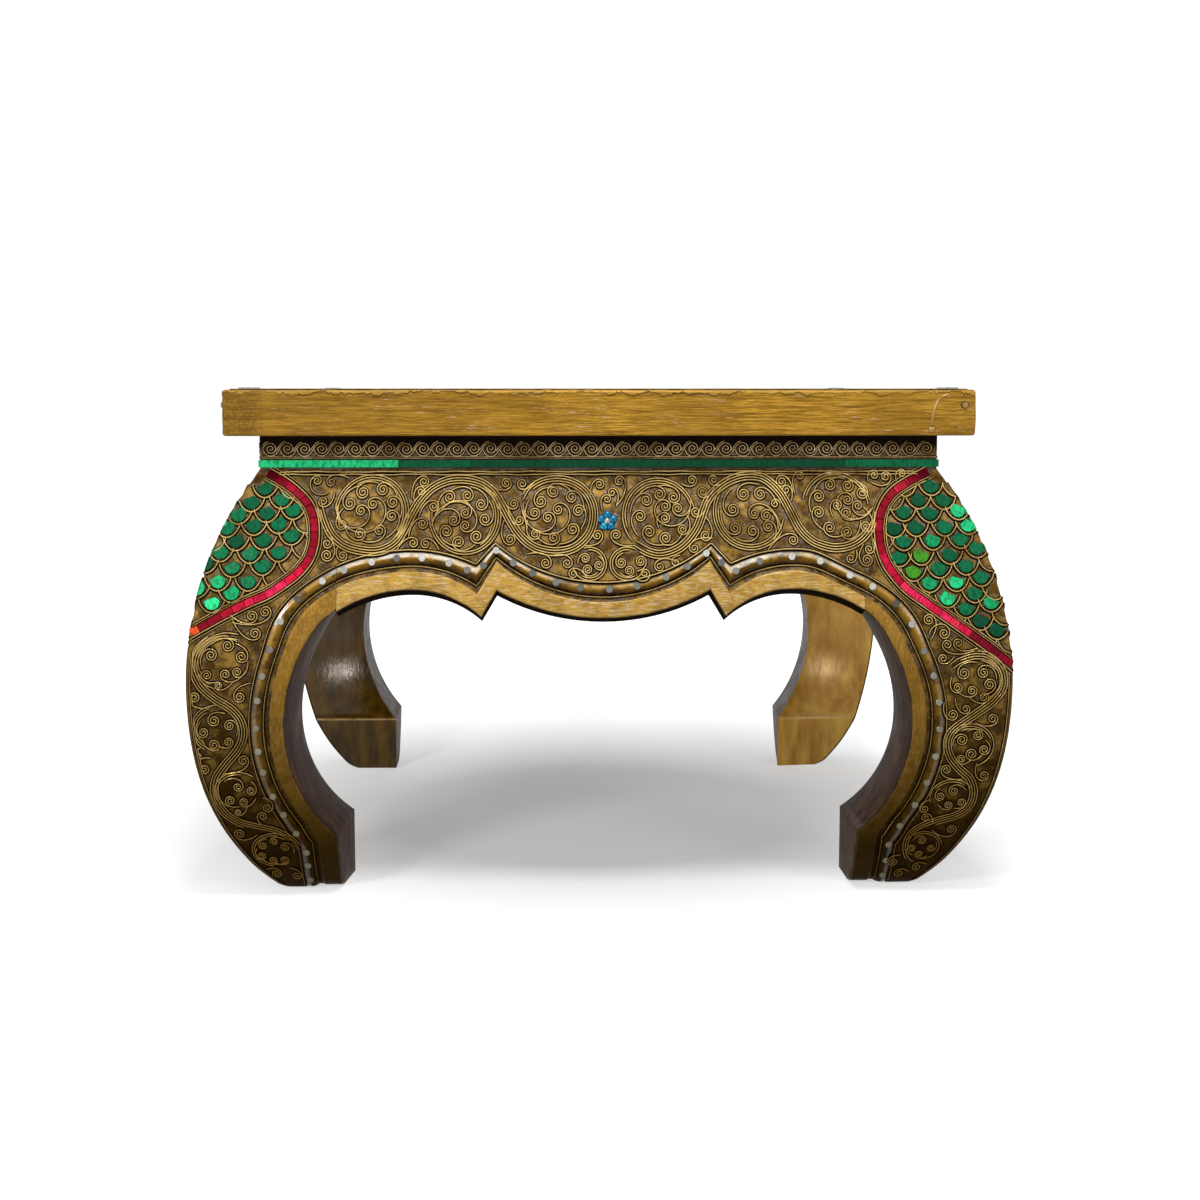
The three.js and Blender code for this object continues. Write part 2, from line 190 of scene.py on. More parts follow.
@dataclass(frozen=True)
class Opening:
    """Shaped opening under each side: a lobe, a notch, a cusp and an arch that runs down the leg.

    Lobes and arches are circles as (radius, height of the centre), and straights are (x, z, slope). Each
    comes three times: for the edge of the board, for the far side of its plain border, and for the thread
    that closes the moulding.
    """

    lobes: tuple[Point, ...] = ((178.4, 411.1), (129.8, 375.2), (137.4, 398.7))
    straights: tuple[tuple[float, float, float], ...] = (
        (85.1, 254.3, 1.752), (85.1, 277.2, 1.627), (85.5, 292.2, 1.066))
    arch_middle: float = 152.0
    arches_in: tuple[Point, ...] = ((81.4, 173.6), (84.0, 185.7), (120.0, 166.7))
    arches_out: tuple[Point, ...] = ((107.4, 147.6), (94.4, 175.3), (117.8, 168.9))
    lobe_ends: float = 70.0
    arch_starts: float = 115.0
    off_centre: float = 2.0
    thread_inset: float = 28.5
    leg_arc: tuple[float, float, float] = (116.6, 146.0, 131.1)
    border_apron: float = 13.0
    border_leg: float = 11.5
    border_foot: float = 16.0
    hip_shift: float = 3.6

    def _between(self, z: np.ndarray, lines: Sequence[np.ndarray]) -> np.ndarray:
        """Distance from the edge of points between three lines.

        Args:
            z: Heights of the points.
            lines: Heights of the edge, of the border's far side and of the thread.

        Returns:
            The distance of each point.
        """
        low, middle, high = lines
        first = self.border_apron * (z - low) / (middle - low)
        second = self.border_apron + (self.thread_inset - self.border_apron) * (z - middle) / (high - middle)
        return np.where(z < middle, first, second)

    def _radial(self, x: np.ndarray, z: np.ndarray) -> np.ndarray:
        """Distance from the outer half of the arch, as it runs on into the leg."""
        radius, centre = self.arches_out[0]
        return np.hypot(x - self.arch_middle, z - centre) - radius

    def inset(self, x: np.ndarray, z: np.ndarray) -> np.ndarray:
        """Distance of points on the apron from the edge of the opening, mitred at its corners.

        Args:
            x: Distances to the right of the middle.
            z: Heights over the floor.

        Returns:
            The distance of each point.
        """
        def circles(rings: Sequence[Point], middle: float, way: int) -> np.ndarray:
            """Distance between circles, which lie under their centres for way -1 and over them for 1."""
            across = (x - middle) ** 2
            return self._between(z, [c + way * np.sqrt(np.maximum(r * r - across, 9)) for r, c in rings])
        x = np.abs(x - self.off_centre * (1 - (x / HIP) ** 2))
        lobe = circles(self.lobes, 0, -1)
        straight = self._between(z, [at_z - slope * (x - at_x) for at_x, at_z, slope in self.straights])
        inner = circles(self.arches_in, self.arch_middle, 1)
        outer = circles(self.arches_out, self.arch_middle, 1)
        outer = outer + (self._radial(x, z) - outer) * eased(x, 165, 205)
        arch = np.where(x <= self.arch_middle, inner, outer)
        corner = np.maximum(lobe, np.minimum(straight, arch))
        return np.where(x < self.lobe_ends, lobe, np.where(x > self.arch_starts, arch, corner))

    def border_on_apron(self, x: np.ndarray) -> np.ndarray:
        """Width of the plain border across the apron, wider at the left hip than at the right one."""
        return self.border_apron - np.sign(x) * self.hip_shift * eased(np.abs(x), 160, 205)

    def height_at(self, x: np.ndarray, inset: np.ndarray | float) -> np.ndarray:
        """Height on the apron at which the distance from the opening reaches `inset`."""
        low, high = np.full_like(x, 200.0), np.full_like(x, BOARD_TOP - 1)
        return halved(low, high, lambda middle: self.inset(x, middle) < inset)

    def inset_on_leg(self, x: np.ndarray, z: np.ndarray) -> np.ndarray:
        """Distance of points on a leg from its inner edge, eased into the apron's at the hip.

        Args:
            x: Distances to the right of the middle.
            z: Heights over the floor.

        Returns:
            The distance of each point.
        """
        middle, level, radius = self.leg_arc
        leg = np.hypot(x - middle, z - level) - radius
        leg = np.where(z < level, np.minimum(leg, x - HIP), leg)
        return leg + (self._radial(x, z) - leg) * eased(z, 205, 262)

    def edge_on_leg(self, z: np.ndarray, inset: np.ndarray | float) -> np.ndarray:
        """Sideways place on a leg at which the distance from its inner edge reaches `inset`."""
        low, high = np.full_like(z, 190.0), np.full_like(z, 345.0)
        return np.maximum(halved(low, high, lambda middle: self.inset_on_leg(middle, z) < inset), HIP)

    def border_on_leg(self, z: np.ndarray, kind: LegKind) -> np.ndarray:
        """Width of the plain border, which narrows down the leg and widens again at the foot.

        Args:
            z: Heights over the floor.
            kind: Kind of the leg.

        Returns:
            The width at each height.
        """
        shift = eased(z, 200, 262) if kind is LegKind.LOW else -eased(z, 165, 245)
        slim = self.border_leg + (self.border_apron - self.border_leg) * eased(z, 178, 238)
        return slim + self.hip_shift * shift + (self.border_foot - self.border_leg) * eased(-z, -66, -40)


@dataclass(frozen=True)
class Moulding:
    """Profile across the moulding, as (distance, height over the ground, finish zone) at each knot.

    The distance counts from the edge of the opening in `border`, and from the border's far side in `past`.
    """

    border: tuple[tuple[float, float, float], ...] = (
        (0.0, -5.0, .1), (.6, -4.1, .5), (1.2, -3.4, .9), (2.2, -3.0, 1), (5, -2.9, 1))
    # On the rounded band, the zones from 6.5 to 8.8 pick painted shade and those from 10.4 to 13.2 painted
    # light
    past: tuple[tuple[float, float, float], ...] = (
        (-2.5, -2.85, 1), (-1.2, -2.75, 1), (-.4, -2.9, 1), (.1, -3.2, .6), (.6, -3.6, .3), (1.4, -3.9, .22),
        (2.3, -4.0, .24), (3.0, -4.1, .2), (3.6, -4.3, .12), (4.2, -4.3, .12), (5.2, -4.0, .1),
        (5.9, -3.3, .35), (6.5, -2.3, .45), (7.4, -1.3, .47), (8.8, -.55, .53), (10.4, -.25, .63),
        (12, -.5, .7), (13.2, -1.0, .68), (14, -1.1, .6), (14.4, -1.1, .2), (14.8, -.7, .22),
        (15.4, -.2, .28), (16.4, 0, .3))
    dots_at: float = 10.3
    bead_at: float = 4.7
    thread_line: float = 15.5

    def distances(self, border: np.ndarray) -> list[np.ndarray]:
        """Distance of each knot from the opening, for a border of the given widths."""
        near = [np.full_like(border, knot[0]) for knot in self.border]
        return near + [border + knot[0] for knot in self.past]

    def at(self, inset: np.ndarray, border: np.ndarray) -> list[np.ndarray]:
        """Profile at a distance from the opening.

        Args:
            inset: Distances from the opening.
            border: Width of the border there.

        Returns:
            Height over the ground and finish zone.
        """
        near, far = np.array(self.border), np.array(self.past)
        past = inset - border
        return [np.where(past < far[0, 0], np.interp(inset, near[:, 0], near[:, column]),
                         np.interp(past, far[:, 0], far[:, column])) for column in (1, 2)]

    @property
    def bead_depth(self) -> float:
        """Height over the ground of the groove that holds the beaded cord."""
        return float(np.interp(self.bead_at, *np.array(self.past).T[:2]))


BOW = Bow()
OPENING = Opening()
MOULDING = Moulding()


# Meshes

def turned(points: np.ndarray, quarters: int) -> np.ndarray:
    """Turns points about the upright axis, as each side follows from the front.

    Args:
        points: Rows of x, y, z.
        quarters: Number of quarter turns.

    Returns:
        The turned rows.
    """
    x, y, z = points.T
    for _ in range(quarters % 4):
        x, y = -y, x
    return np.stack([x, y, z], axis=1)


@dataclass(frozen=True)
class Face:
    """A surface that takes ornament: how it lies in front, its quarter turns, and -1 where it is mirrored."""

    lay: Lay
    quarters: int = 0
    flip: int = 1

    def on(self, flat: np.ndarray, lift: np.ndarray) -> np.ndarray:
        """Places points that are drawn flat, lifted off the surface."""
        return turned(self.lay(self.flip * flat[:, 0], flat[:, 1], lift), self.quarters)


def carved(side: int, flip: int, base: float = 0.0) -> Face:
    """The bowed face of one side, with a base height over the ground of the relief."""
    return Face(lambda x, z, lift: BOW.lay(x, z, lift + base), side, flip)


def upright(out: float, side: int, flip: int = 1) -> Face:
    """An upright face at a distance from the middle of the table."""
    return Face(lambda x, z, lift: np.stack([x, -out - lift, z], axis=1), side, flip)


def tube_faces(rings: int, around: int, flipped: bool = False) -> list[tuple[int, ...]]:
    """Faces of a closed tube: quads between its rings and a cap at each end.

    Args:
        rings: Number of rings.
        around: Points in each ring.
        flipped: Whether the faces are turned inside out.

    Returns:
        The corners of each face.
    """
    faces = [(k + j, k + (j + 1) % around, k + around + (j + 1) % around, k + around + j)
             for k in range(0, (rings - 1) * around, around) for j in range(around)]
    faces += [tuple(range(around))[::-1], tuple(range((rings - 1) * around, rings * around))]
    return [face[::-1] for face in faces] if flipped else faces


def placed(obj: bpy.types.Object, nodes: Sequence[str] = ()) -> None:
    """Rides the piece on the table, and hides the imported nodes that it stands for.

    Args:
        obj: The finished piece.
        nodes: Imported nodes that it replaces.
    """
    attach(obj, BODY)
    if nodes:
        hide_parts(*nodes)
    log.info("%s: %d faces", obj.name, len(obj.data.polygons))


@dataclass
class Shape:
    """Vertices in millimetres, faces, and the values for each vertex that the finishes read."""

    points: list[np.ndarray] = field(default_factory=list)
    faces: list[tuple[int, ...]] = field(default_factory=list)
    finishes: list[int] = field(default_factory=list)
    values: dict[str, list[np.ndarray]] = field(default_factory=dict)
    count: int = 0

    def add(self, points: np.ndarray, faces: Sequence[Sequence[int]], finishes: Sequence[int] | int = 0,
            **values: np.ndarray | float) -> None:
        """Adds a part of the shape.

        Args:
            points: Its vertices.
            faces: Corners of each face, counted from its first vertex.
            finishes: Number of each face's finish, or one for all.
            **values: Values of its vertices, by name.
        """
        start = self.count
        self.finishes.extend([finishes] * len(faces) if isinstance(finishes, int) else finishes)
        for name, given in values.items():
            earlier = self.values.setdefault(name, [])
            missing = start - sum(len(part) for part in earlier)
            earlier += [np.zeros(missing), np.broadcast_to(np.asarray(given, float), (len(points),))]
        self.points.append(points)
        self.faces.extend(tuple(start + i for i in face) for face in faces)
        self.count += len(points)

    def piece(self, name: str, finishes: Sequence[Material], nodes: Sequence[str] = (),
              crease: float = 38.0, merge: float = 0.0) -> None:
        """Makes the piece in metres, with its closed shells turned outwards, and places it.

        Args:
            name: Name of the piece.
            finishes: Its finishes.
            nodes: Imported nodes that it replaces.
            crease: Angle in degrees from which an edge stays crisp.
            merge: Distance in metres within which points become one; 0 leaves them.
        """
        mesh = bpy.data.meshes.new(name)
        mesh.from_pydata((np.vstack(self.points) * MM).tolist(), [], self.faces)
        for key, parts in self.values.items():
            layer = mesh.attributes.new(key, "FLOAT", "POINT")
            given = np.concatenate(parts)
            layer.data.foreach_set("value", np.pad(given, (0, self.count - len(given))).astype(np.float32))
        for finish in finishes:
            mesh.materials.append(finish)
        mesh.polygons.foreach_set("material_index", self.finishes)
        mesh.polygons.foreach_set("use_smooth", [True] * len(mesh.polygons))
        work = bmesh.new()
        work.from_mesh(mesh)
        if merge:
            bmesh.ops.remove_doubles(work, verts=work.verts, dist=merge)
        bmesh.ops.recalc_face_normals(work, faces=work.faces)
        work.to_mesh(mesh)
        work.free()
        mesh.set_sharp_from_angle(angle=math.radians(crease))
        obj = bpy.data.objects.new(name, mesh)
        bpy.context.scene.collection.objects.link(obj)
        placed(obj, nodes)


# Lines

def smooth_path(points: Sequence[Point], step: float = 2.2) -> np.ndarray:
    """A smooth line through all points.

    Args:
        points: Points that the line passes.
        step: Longest distance between its own points.

    Returns:
        Points of the line.
    """
    pts = np.asarray(points, float)
    ends = np.vstack([2 * pts[0] - pts[1], pts, 2 * pts[-1] - pts[-2]])
    out = []
    for a, b, c, d in zip(ends[:-3], ends[1:-2], ends[2:-1], ends[3:]):
        count = max(2, int(math.ceil(np.linalg.norm(c - b) / step)))
        t = np.linspace(0, 1, count, endpoint=False)[:, None]
        out.append(0.5 * (2 * b + (c - a) * t + (2 * a - 5 * b + 4 * c - d) * t ** 2
                          + (3 * b - a - 3 * c + d) * t ** 3))
    out.append(pts[-1:])
    return np.vstack(out)


def along(path: np.ndarray) -> np.ndarray:
    """Length along the path at each point."""
    return np.concatenate([[0], np.cumsum(np.linalg.norm(np.diff(path, axis=0), axis=1))])


def points_at(path: np.ndarray, at: np.ndarray) -> np.ndarray:
    """Points of the path at the given lengths along it."""
    length = along(path)
    return np.stack([np.interp(at, length, path[:, 0]), np.interp(at, length, path[:, 1])], axis=1)


def evenly(path: np.ndarray, step: float) -> np.ndarray:
    """The path with its points moved to even steps."""
    length = along(path)[-1]
    return points_at(path, np.linspace(0, length, max(3, int(length / step) + 1)))


def sideways(path: np.ndarray) -> np.ndarray:
    """Directions to the left of a path, of length 1.

    Args:
        path: Points of the path.

    Returns:
        The direction at each point.
    """
    ahead = np.gradient(path, axis=0)
    ahead /= np.linalg.norm(ahead, axis=1)[:, None] + 1e-12
    return np.stack([-ahead[:, 1], ahead[:, 0]], axis=1)


def part_of(path: np.ndarray, start: float, end: float) -> np.ndarray:
    """The part of the path between two shares of its length."""
    length = along(path)
    return path[(length >= start * length[-1]) & (length <= end * length[-1])]


def arc(x: float, z: float, reach: np.ndarray | float, angle: np.ndarray) -> np.ndarray:
    """Points round a centre, at the given distances and angles."""
    return np.stack([x + reach * np.cos(angle), z + reach * np.sin(angle)], axis=1)


def circle(x: float, z: float, radius: np.ndarray | float, count: int) -> np.ndarray:
    """Points of a whole turn round a centre."""
    return arc(x, z, radius, np.linspace(0, 2 * math.pi, count, endpoint=False))


def beside(path: np.ndarray, points: np.ndarray) -> np.ndarray:
    """Distance of points from a path.

    Args:
        path: Points of the path.
        points: Points beside it.

    Returns:
        The distance of each, positive to the left of the path as it runs.
    """
    run, rel = np.diff(path, axis=0), points[:, None] - path[None, :-1]
    share = np.clip((rel * run).sum(axis=2) / (run * run).sum(axis=1), 0, 1)
    length = np.linalg.norm(rel - share[..., None] * run, axis=2)
    best = length.argmin(axis=1)
    at = np.arange(len(points))
    side = run[best, 0] * rel[at, best, 1] - run[best, 1] * rel[at, best, 0]
    return np.where(side > 0, 1, -1) * length[at, best]


def curl_path(root: Point, heading: float, centre: Point, turn: int, size: float, turns: float,
              sweep: float) -> np.ndarray:
    """A stem that leaves the root along its heading and winds into a coil.

    Args:
        root: Where the stem starts.
        heading: Direction at the root in degrees.
        centre: Centre of the coil.
        turn: 1 for a coil that turns left, -1 for one that turns right.
        size: Radius at which the coil starts.
        turns: Turns of the coil.
        sweep: Degrees that the stem turns about the centre before the coil starts.

    Returns:
        Points of the thread's middle.
    """
    rel = (root[0] - centre[0], root[1] - centre[1])
    start = math.atan2(rel[1], rel[0])
    lean = math.radians(heading) - (start + turn * math.pi / 2)
    lean = turn * ((lean + math.pi) % (2 * math.pi) - math.pi)
    lean = max(-1.2, min(1.25, lean))
    span = math.radians(sweep)
    first, last = math.log(math.hypot(*rel)), math.log(size)
    fall = last - first
    leave, arrive = -math.tan(lean) * span, -THREAD_PITCH / (2 * math.pi * size) * span
    if fall < 0:
        leave, arrive = max(leave, 3 * fall), max(arrive, 3 * fall)
    t = np.linspace(0, 1, max(6, int(sweep / 11)), endpoint=False)
    reach = np.exp(first * (2 * t ** 3 - 3 * t ** 2 + 1) + leave * (t ** 3 - 2 * t ** 2 + t)
                   + last * (3 * t ** 2 - 2 * t ** 3) + arrive * (t ** 3 - t ** 2))
    stem = arc(*centre, reach, start + turn * span * t)
    t = np.linspace(0, 1, max(10, int(turns * 14)))
    reach = size + (max(0.55, size - THREAD_PITCH * turns) - size) * t
    return np.vstack([stem, arc(*centre, reach, start + turn * (span + turns * 2 * math.pi * t))])


@dataclass(frozen=True)
class Roundel:
    """A ring of threads with curls that spring from its inside.

    A ring is (inset, from, to) in degrees, and a curl is (x, z, lead, sweep, size), where sweep and size
    may be left out.
    """

    x: float
    z: float
    across: float
    tall: float
    turn: int
    rings: tuple[tuple[float, float, float], ...]
    curls: tuple[tuple[float, ...], ...]

    def at(self, angle: float, inset: float) -> Point:
        """Point of the ring at an angle in degrees, moved in by `inset`."""
        a = math.radians(angle)
        return (self.x + (self.across - inset) * math.cos(a), self.z + (self.tall - inset) * math.sin(a))

    def strokes(self) -> list[np.ndarray]:
        """Middle lines of all threads.

        Returns:
            One path for each ring and each curl.
        """
        out = []
        for inset, start, end in self.rings:
            count = max(4, int(abs(end - start) / 7))
            out.append(np.array([self.at(a, inset) for a in np.linspace(start, end, count)]))
        deep = max(ring[0] for ring in self.rings) + THREAD_PITCH
        for curl in self.curls:
            x, z, lead, sweep, size = (*curl, *(200.0, 4.5)[len(curl) - 3:])
            place = math.degrees(math.atan2((z - self.z) * self.across / self.tall, x - self.x))
            start = place - self.turn * lead
            root, ahead = self.at(start, deep), self.at(start + self.turn * 2, deep)
            heading = math.degrees(math.atan2(ahead[1] - root[1], ahead[0] - root[0]))
            out.append(curl_path(root, heading, (x, z), self.turn, size, 1.8, sweep))
        return out


@dataclass(frozen=True)
class Sprig:
    """One curl with a stem that starts at a given offset and heading."""

    x: float
    z: float
    from_x: float
    from_z: float
    heading: float
    turn: int
    size: float = 4.2
    sweep: float = 190.0

    def strokes(self) -> list[np.ndarray]:
        """Middle line of the thread.

        Returns:
            Its path, as the only one.
        """
        turns = min(1.8, (self.size - 0.5) / THREAD_PITCH)
        root = (self.x + self.from_x, self.z + self.from_z)
        return [curl_path(root, self.heading, (self.x, self.z), self.turn, self.size, turns, self.sweep)]


@dataclass(frozen=True)
class Bundle:
    """Parallel threads along one line, each from one share of its length to another."""

    points: tuple[Point, ...]
    spans: tuple[tuple[float, float], ...]

    def strokes(self) -> list[np.ndarray]:
        """Middle lines of all threads.

        Returns:
            One path for each span, from the right of the line to its left.
        """
        path = smooth_path(self.points)
        middle = (len(self.spans) - 1) / 2
        parts = [part_of(path, *span) for span in self.spans]
        return [part + (i - middle) * THREAD_PITCH * sideways(part) for i, part in enumerate(parts)]


@dataclass(frozen=True)
class Ornament:
    """All threads of one board, drawn flat as seen from the front."""

    roundels: tuple[Roundel, ...]
    sprigs: tuple[Sprig, ...]
    bundles: tuple[Bundle, ...]

    def strokes(self) -> list[np.ndarray]:
        """Middle lines of all threads."""
        return [stroke for part in (*self.roundels, *self.bundles, *self.sprigs) for stroke in part.strokes()]


@dataclass(frozen=True)
class LegPattern:
    """What both faces of one kind of leg carry.

    Each digit of `reds` and `greens` is a tile's place in the row of tints. `set_back` is how far the front
    edge of the inner side stands back low down, and `rim_top` is where the beaded line at the arris starts.
    """

    ornament: Ornament
    band: tuple[Point, ...]
    scales: tuple[Point, ...]
    reds: str
    greens: str
    dots: tuple[float, ...]
    set_back: float
    rim_top: float


# Ornament

APRON_ORNAMENT = Ornament(
    roundels=(
        Roundel(-182.8, 315.5, 29.2, 29.0, 1, ((0, -55, 176), (2, -48, 196), (4, -35, 120)),
            ((-190.5, 331, 38, 230), (-174.7, 333.2, 34, 215), (-166.4, 323.3, 36),
            (-200.6, 322.4, 46, 235), (-166.8, 312.7, 52, 185), (-176.3, 301.6, 44, 160),
            (-192, 299.1, 40, 200), (-206.3, 306.1, 30, 180, 3.8))),
        Roundel(-108.5, 312.3, 28.5, 29.3, -1, ((0, 40, -172), (2, 55, -190), (4, 30, -60)),
            ((-121.2, 327.1, 40, 190), (-107, 328.3, 40), (-95.9, 321.6, 45), (-92.5, 310.1, 40, 200),
            (-99.3, 296.8, 35, 210), (-113.4, 292.4, 35, 215), (-123.2, 300.8, 45, 215))),
        Roundel(-36, 312.8, 28.8, 28.2, 1, ((4, 150, 205),), ((-48.2, 323.9, 46, 235),
            (-37.9, 331.4, 40, 210), (-23.3, 327, 40, 200), (-18, 316.4, 40, 180), (-22.6, 302.1, 45, 190),
            (-37.7, 295.8, 40, 180), (-52.7, 298.6, 32, 200, 4))),
        Roundel(46.3, 312.7, 29, 29, -1, ((0, 222, 10), (2, 200, 20), (4, 140, 60)),
            ((36.5, 324.6, 44, 190), (47.3, 329.1, 44, 205), (58.6, 326.8, 40, 215),
            (65.2, 302, 30, 190, 4), (51.4, 295.3, 40, 220), (38.3, 300.2, 45, 230),
            (31.3, 312.1, 42, 190))),
        Roundel(119.4, 314.9, 29.3, 29, 1, ((0, 140, 330), (2, 150, 350), (4, 170, 320)),
            ((115.1, 329.2, 36, 240), (128.6, 329.2, 44, 205), (105.9, 317.3, 44, 250),
            (107, 302.7, 44, 200), (121.2, 300.3, 38, 175))),
        Roundel(189.7, 319, 27.6, 27.2, -1, ((0, 168, 10), (2, 160, 5), (4, 110, 70)),
            ((185.3, 336.3, 42, 180), (199.7, 335.5, 42, 200), (210.8, 329.9, 40, 215),
            (175.6, 327.2, 42, 190), (174.8, 314.8, 42, 190), (183.2, 302.9, 44, 220),
            (196.9, 299.3, 40, 230), (212.3, 304.1, 34, 230, 4))),
        Roundel(-9.5, 275.5, 13.4, 12.8, -1, ((0, 110, -170), (2, 95, -120)), ((-13, 279.7, 50, 160, 3.6),
            (-2.1, 274.5, 50, 200, 3.6), (-11, 271, 60, 230, 3.6))),
        Roundel(20.5, 275.5, 13.8, 12.8, 1, ((0, 60, 340), (2, 80, 300)), ((15.7, 276.4, 60, 200, 3.8),
            (21.7, 270.1, 50, 200, 3.6), (31.1, 277.2, 50, 230, 3.8))),
    ),
    sprigs=(
        Sprig(-182.2, 322, -28.3, -1, -92, 1, 4.2, 300), Sprig(-191.5, 316.9, -19.5, 3, -95, 1, 4.2, 280),
        Sprig(-108.3, 305.1, -26.7, 0, 85, -1, 4.2, 300), Sprig(-117.6, 309.4, -17.4, -4, 80, -1, 4.2, 240),
        Sprig(-108.4, 314.9, -19, 2.5, 50, -1, 4.0, 240), Sprig(-34.3, 317.5, -29.4, 3.2, -88, 1, 4.2, 320),
        Sprig(-42.5, 311.2, -20, 6, -85, 1, 4.2, 290), Sprig(-53.1, 314.8, -9, 8, -95, 1, 4.2, 200),
        Sprig(51.7, 319.7, 20.2, .4, -92, -1, 4.2, 320), Sprig(51.1, 310.4, -5, -7.5, 120, -1, 4.2, 170),
        Sprig(61.6, 318.1, 10.5, 6, -80, -1, 4.2, 190), Sprig(123, 314.1, 21, -12.9, 95, 1, 4.2, 220),
        Sprig(132.7, 312.5, 9, -11, 100, 1, 4.2, 200), Sprig(134, 303.8, 4, -10.5, 75, 1, 4.2, 190),
        Sprig(198.9, 324.7, 20.2, -6, -120, -1, 4.2, 330), Sprig(189.9, 320.4, -3.5, -9, 120, -1, 4, 190),
        Sprig(197.3, 314.4, 9, -4, 190, -1, 4, 190), Sprig(206.8, 320, 10.5, -2, 250, -1, 4, 190),
        Sprig(-142.1, 339, -9.3, -13.7, 90, -1), Sprig(-144.2, 331.6, -4.8, -8.5, 95, -1, 3.4),
        Sprig(-133.7, 320, -11.7, -8, 65, -1), Sprig(-142.3, 306.6, -10.9, -9.7, 65, -1),
        Sprig(-149.5, 291.9, -12.9, -5.6, 45, -1, 3.6), Sprig(-139.7, 291.3, 10.9, -4.8, 130, 1, 3.6),
        Sprig(-216.3, 339.1, 14, 3, 200, 1, 3.4), Sprig(-227.6, 340.1, 10, -9, 215, -1, 4),
        Sprig(-221.8, 323.9, 8.9, 8, 250, -1, 3.8), Sprig(-217.4, 291.6, -.8, 10.5, -60, -1, 3.4),
        Sprig(-217.5, 282.7, 2.4, 13.7, -60, -1, 4.4), Sprig(-204.9, 282.3, -4.2, 6.8, -100, 1, 3.6),
        Sprig(-76.1, 337.8, -14.9, 1.2, -35, 1), Sprig(-63, 337.4, 10, 2.4, -140, -1, 3.8),
        Sprig(-69.8, 321.9, -9.7, 7.7, -60, 1, 3.6), Sprig(-65.3, 309.3, -8.9, 9.7, -60, 1, 3.4),
        Sprig(-72.6, 294.7, -4.8, 14.5, -95, 1), Sprig(-44.3, 276.2, -15, 7, -25, -1),
        Sprig(-27.3, 276.1, -13, 5.5, -5, -1, 3.8), Sprig(-22.4, 267.9, 11, -3.6, 150, 1, 3.6),
        Sprig(-.9, 336.9, -7, -8, 80, -1, 3.8), Sprig(15.2, 339.3, -3.2, -19.8, 65, 1, 3.8),
        Sprig(9.2, 330.5, 3.2, -10, 85, 1, 3.2), Sprig(5, 325.4, -3.6, -8.9, 92, -1, 3.2),
        Sprig(-3.1, 297.4, -10.9, -7.7, -5, 1, 4), Sprig(11.9, 297.7, 15.3, -8, 178, -1, 4),
        Sprig(46.1, 273.3, 15, 3.5, 180, 1, 3.8), Sprig(34.3, 268.1, -7, -3, -60, 1, 3.4),
        Sprig(59.1, 276.8, 3.5, 5, 200, 1, 2.8), Sprig(74, 340, -8.4, -2.8, -10, 1, 3.6),
        Sprig(82.3, 330.8, 9.7, 5, -110, -1, 4), Sprig(91.3, 340.4, 12.9, 1.6, -140, -1, 3.6),
        Sprig(76, 315.4, 9.7, 9.3, -105, -1, 3.6), Sprig(83.2, 297.2, .8, 14.5, -80, -1, 4),
        Sprig(74, 287.3, 14.9, 7.7, -150, 1, 3.6), Sprig(140.2, 321.6, 4, 0, 100, 1, 2.8),
        Sprig(153.2, 293.5, -20, -7.3, 45, -1, 4), Sprig(146.5, 338.8, 7.3, -14.5, 85, 1, 4.6),
        Sprig(149.8, 332.4, 3.2, -8.9, 80, 1, 3.2), Sprig(161.4, 343.3, -4.4, -14.5, 92, -1, 3.2),
        Sprig(222, 344, -5, -6, 100, -1, 3.4), Sprig(231.4, 342.6, -12.5, -4, -35, 1, 4),
        Sprig(244.6, 345, -4.8, -6, 92, -1, 3), Sprig(213.9, 286.3, 3.5, 8, -80, -1, 3.2),
        Sprig(198.8, 279.2, 4.8, 6.5, -90, -1, 3.2), Sprig(211.8, 278, -2, 12, -130, 1, 4.6),
    ),
    bundles=(
        Bundle(((-225, 326), (-222.1, 316.3), (-219.3, 308.4), (-213.7, 298.2), (-204.2, 290.3),
            (-192.8, 286.6), (-180.7, 285.4), (-171.1, 287.5), (-162.4, 293.4), (-156.1, 303.5),
            (-150.7, 314.6), (-144.5, 324.8), (-135, 334.3), (-122.8, 339.9), (-110, 341), (-97.7, 338.6),
            (-88.7, 333.4), (-82.9, 326.5), (-77.9, 318.4), (-72.2, 308.2), (-65.7, 298.7), (-56.8, 290.5),
            (-47.1, 286.3), (-34.9, 284.9), (-22.7, 287.4), (-13.1, 294.4), (-7.5, 303.3), (-5.6, 314.3),
            (-8, 324.6), (-14.5, 333.4), (-24.5, 338.9), (-36, 340.5), (-47, 338.5), (-56.5, 332.6),
            (-61.8, 324)), ((0, .99), (.02, 1), (0, .97), (.05, .93))),
        Bundle(((26.7, 290.3), (38.5, 284.1), (49.6, 282.9), (64.1, 288.7), (76.5, 302.6), (86, 324.3),
            (97.8, 335.9), (110.2, 341.8), (122.5, 343.4), (133.7, 340.6), (144.4, 330.4), (151.7, 317.2),
            (158.9, 302.6), (168.1, 293.3), (178.3, 288.9), (188.6, 287.4), (200, 289.6), (210, 295.9),
            (217, 305.2), (219.3, 315.5)), ((.02, .98), (0, 1), (.03, .97), (0, .95))),
    ),
)

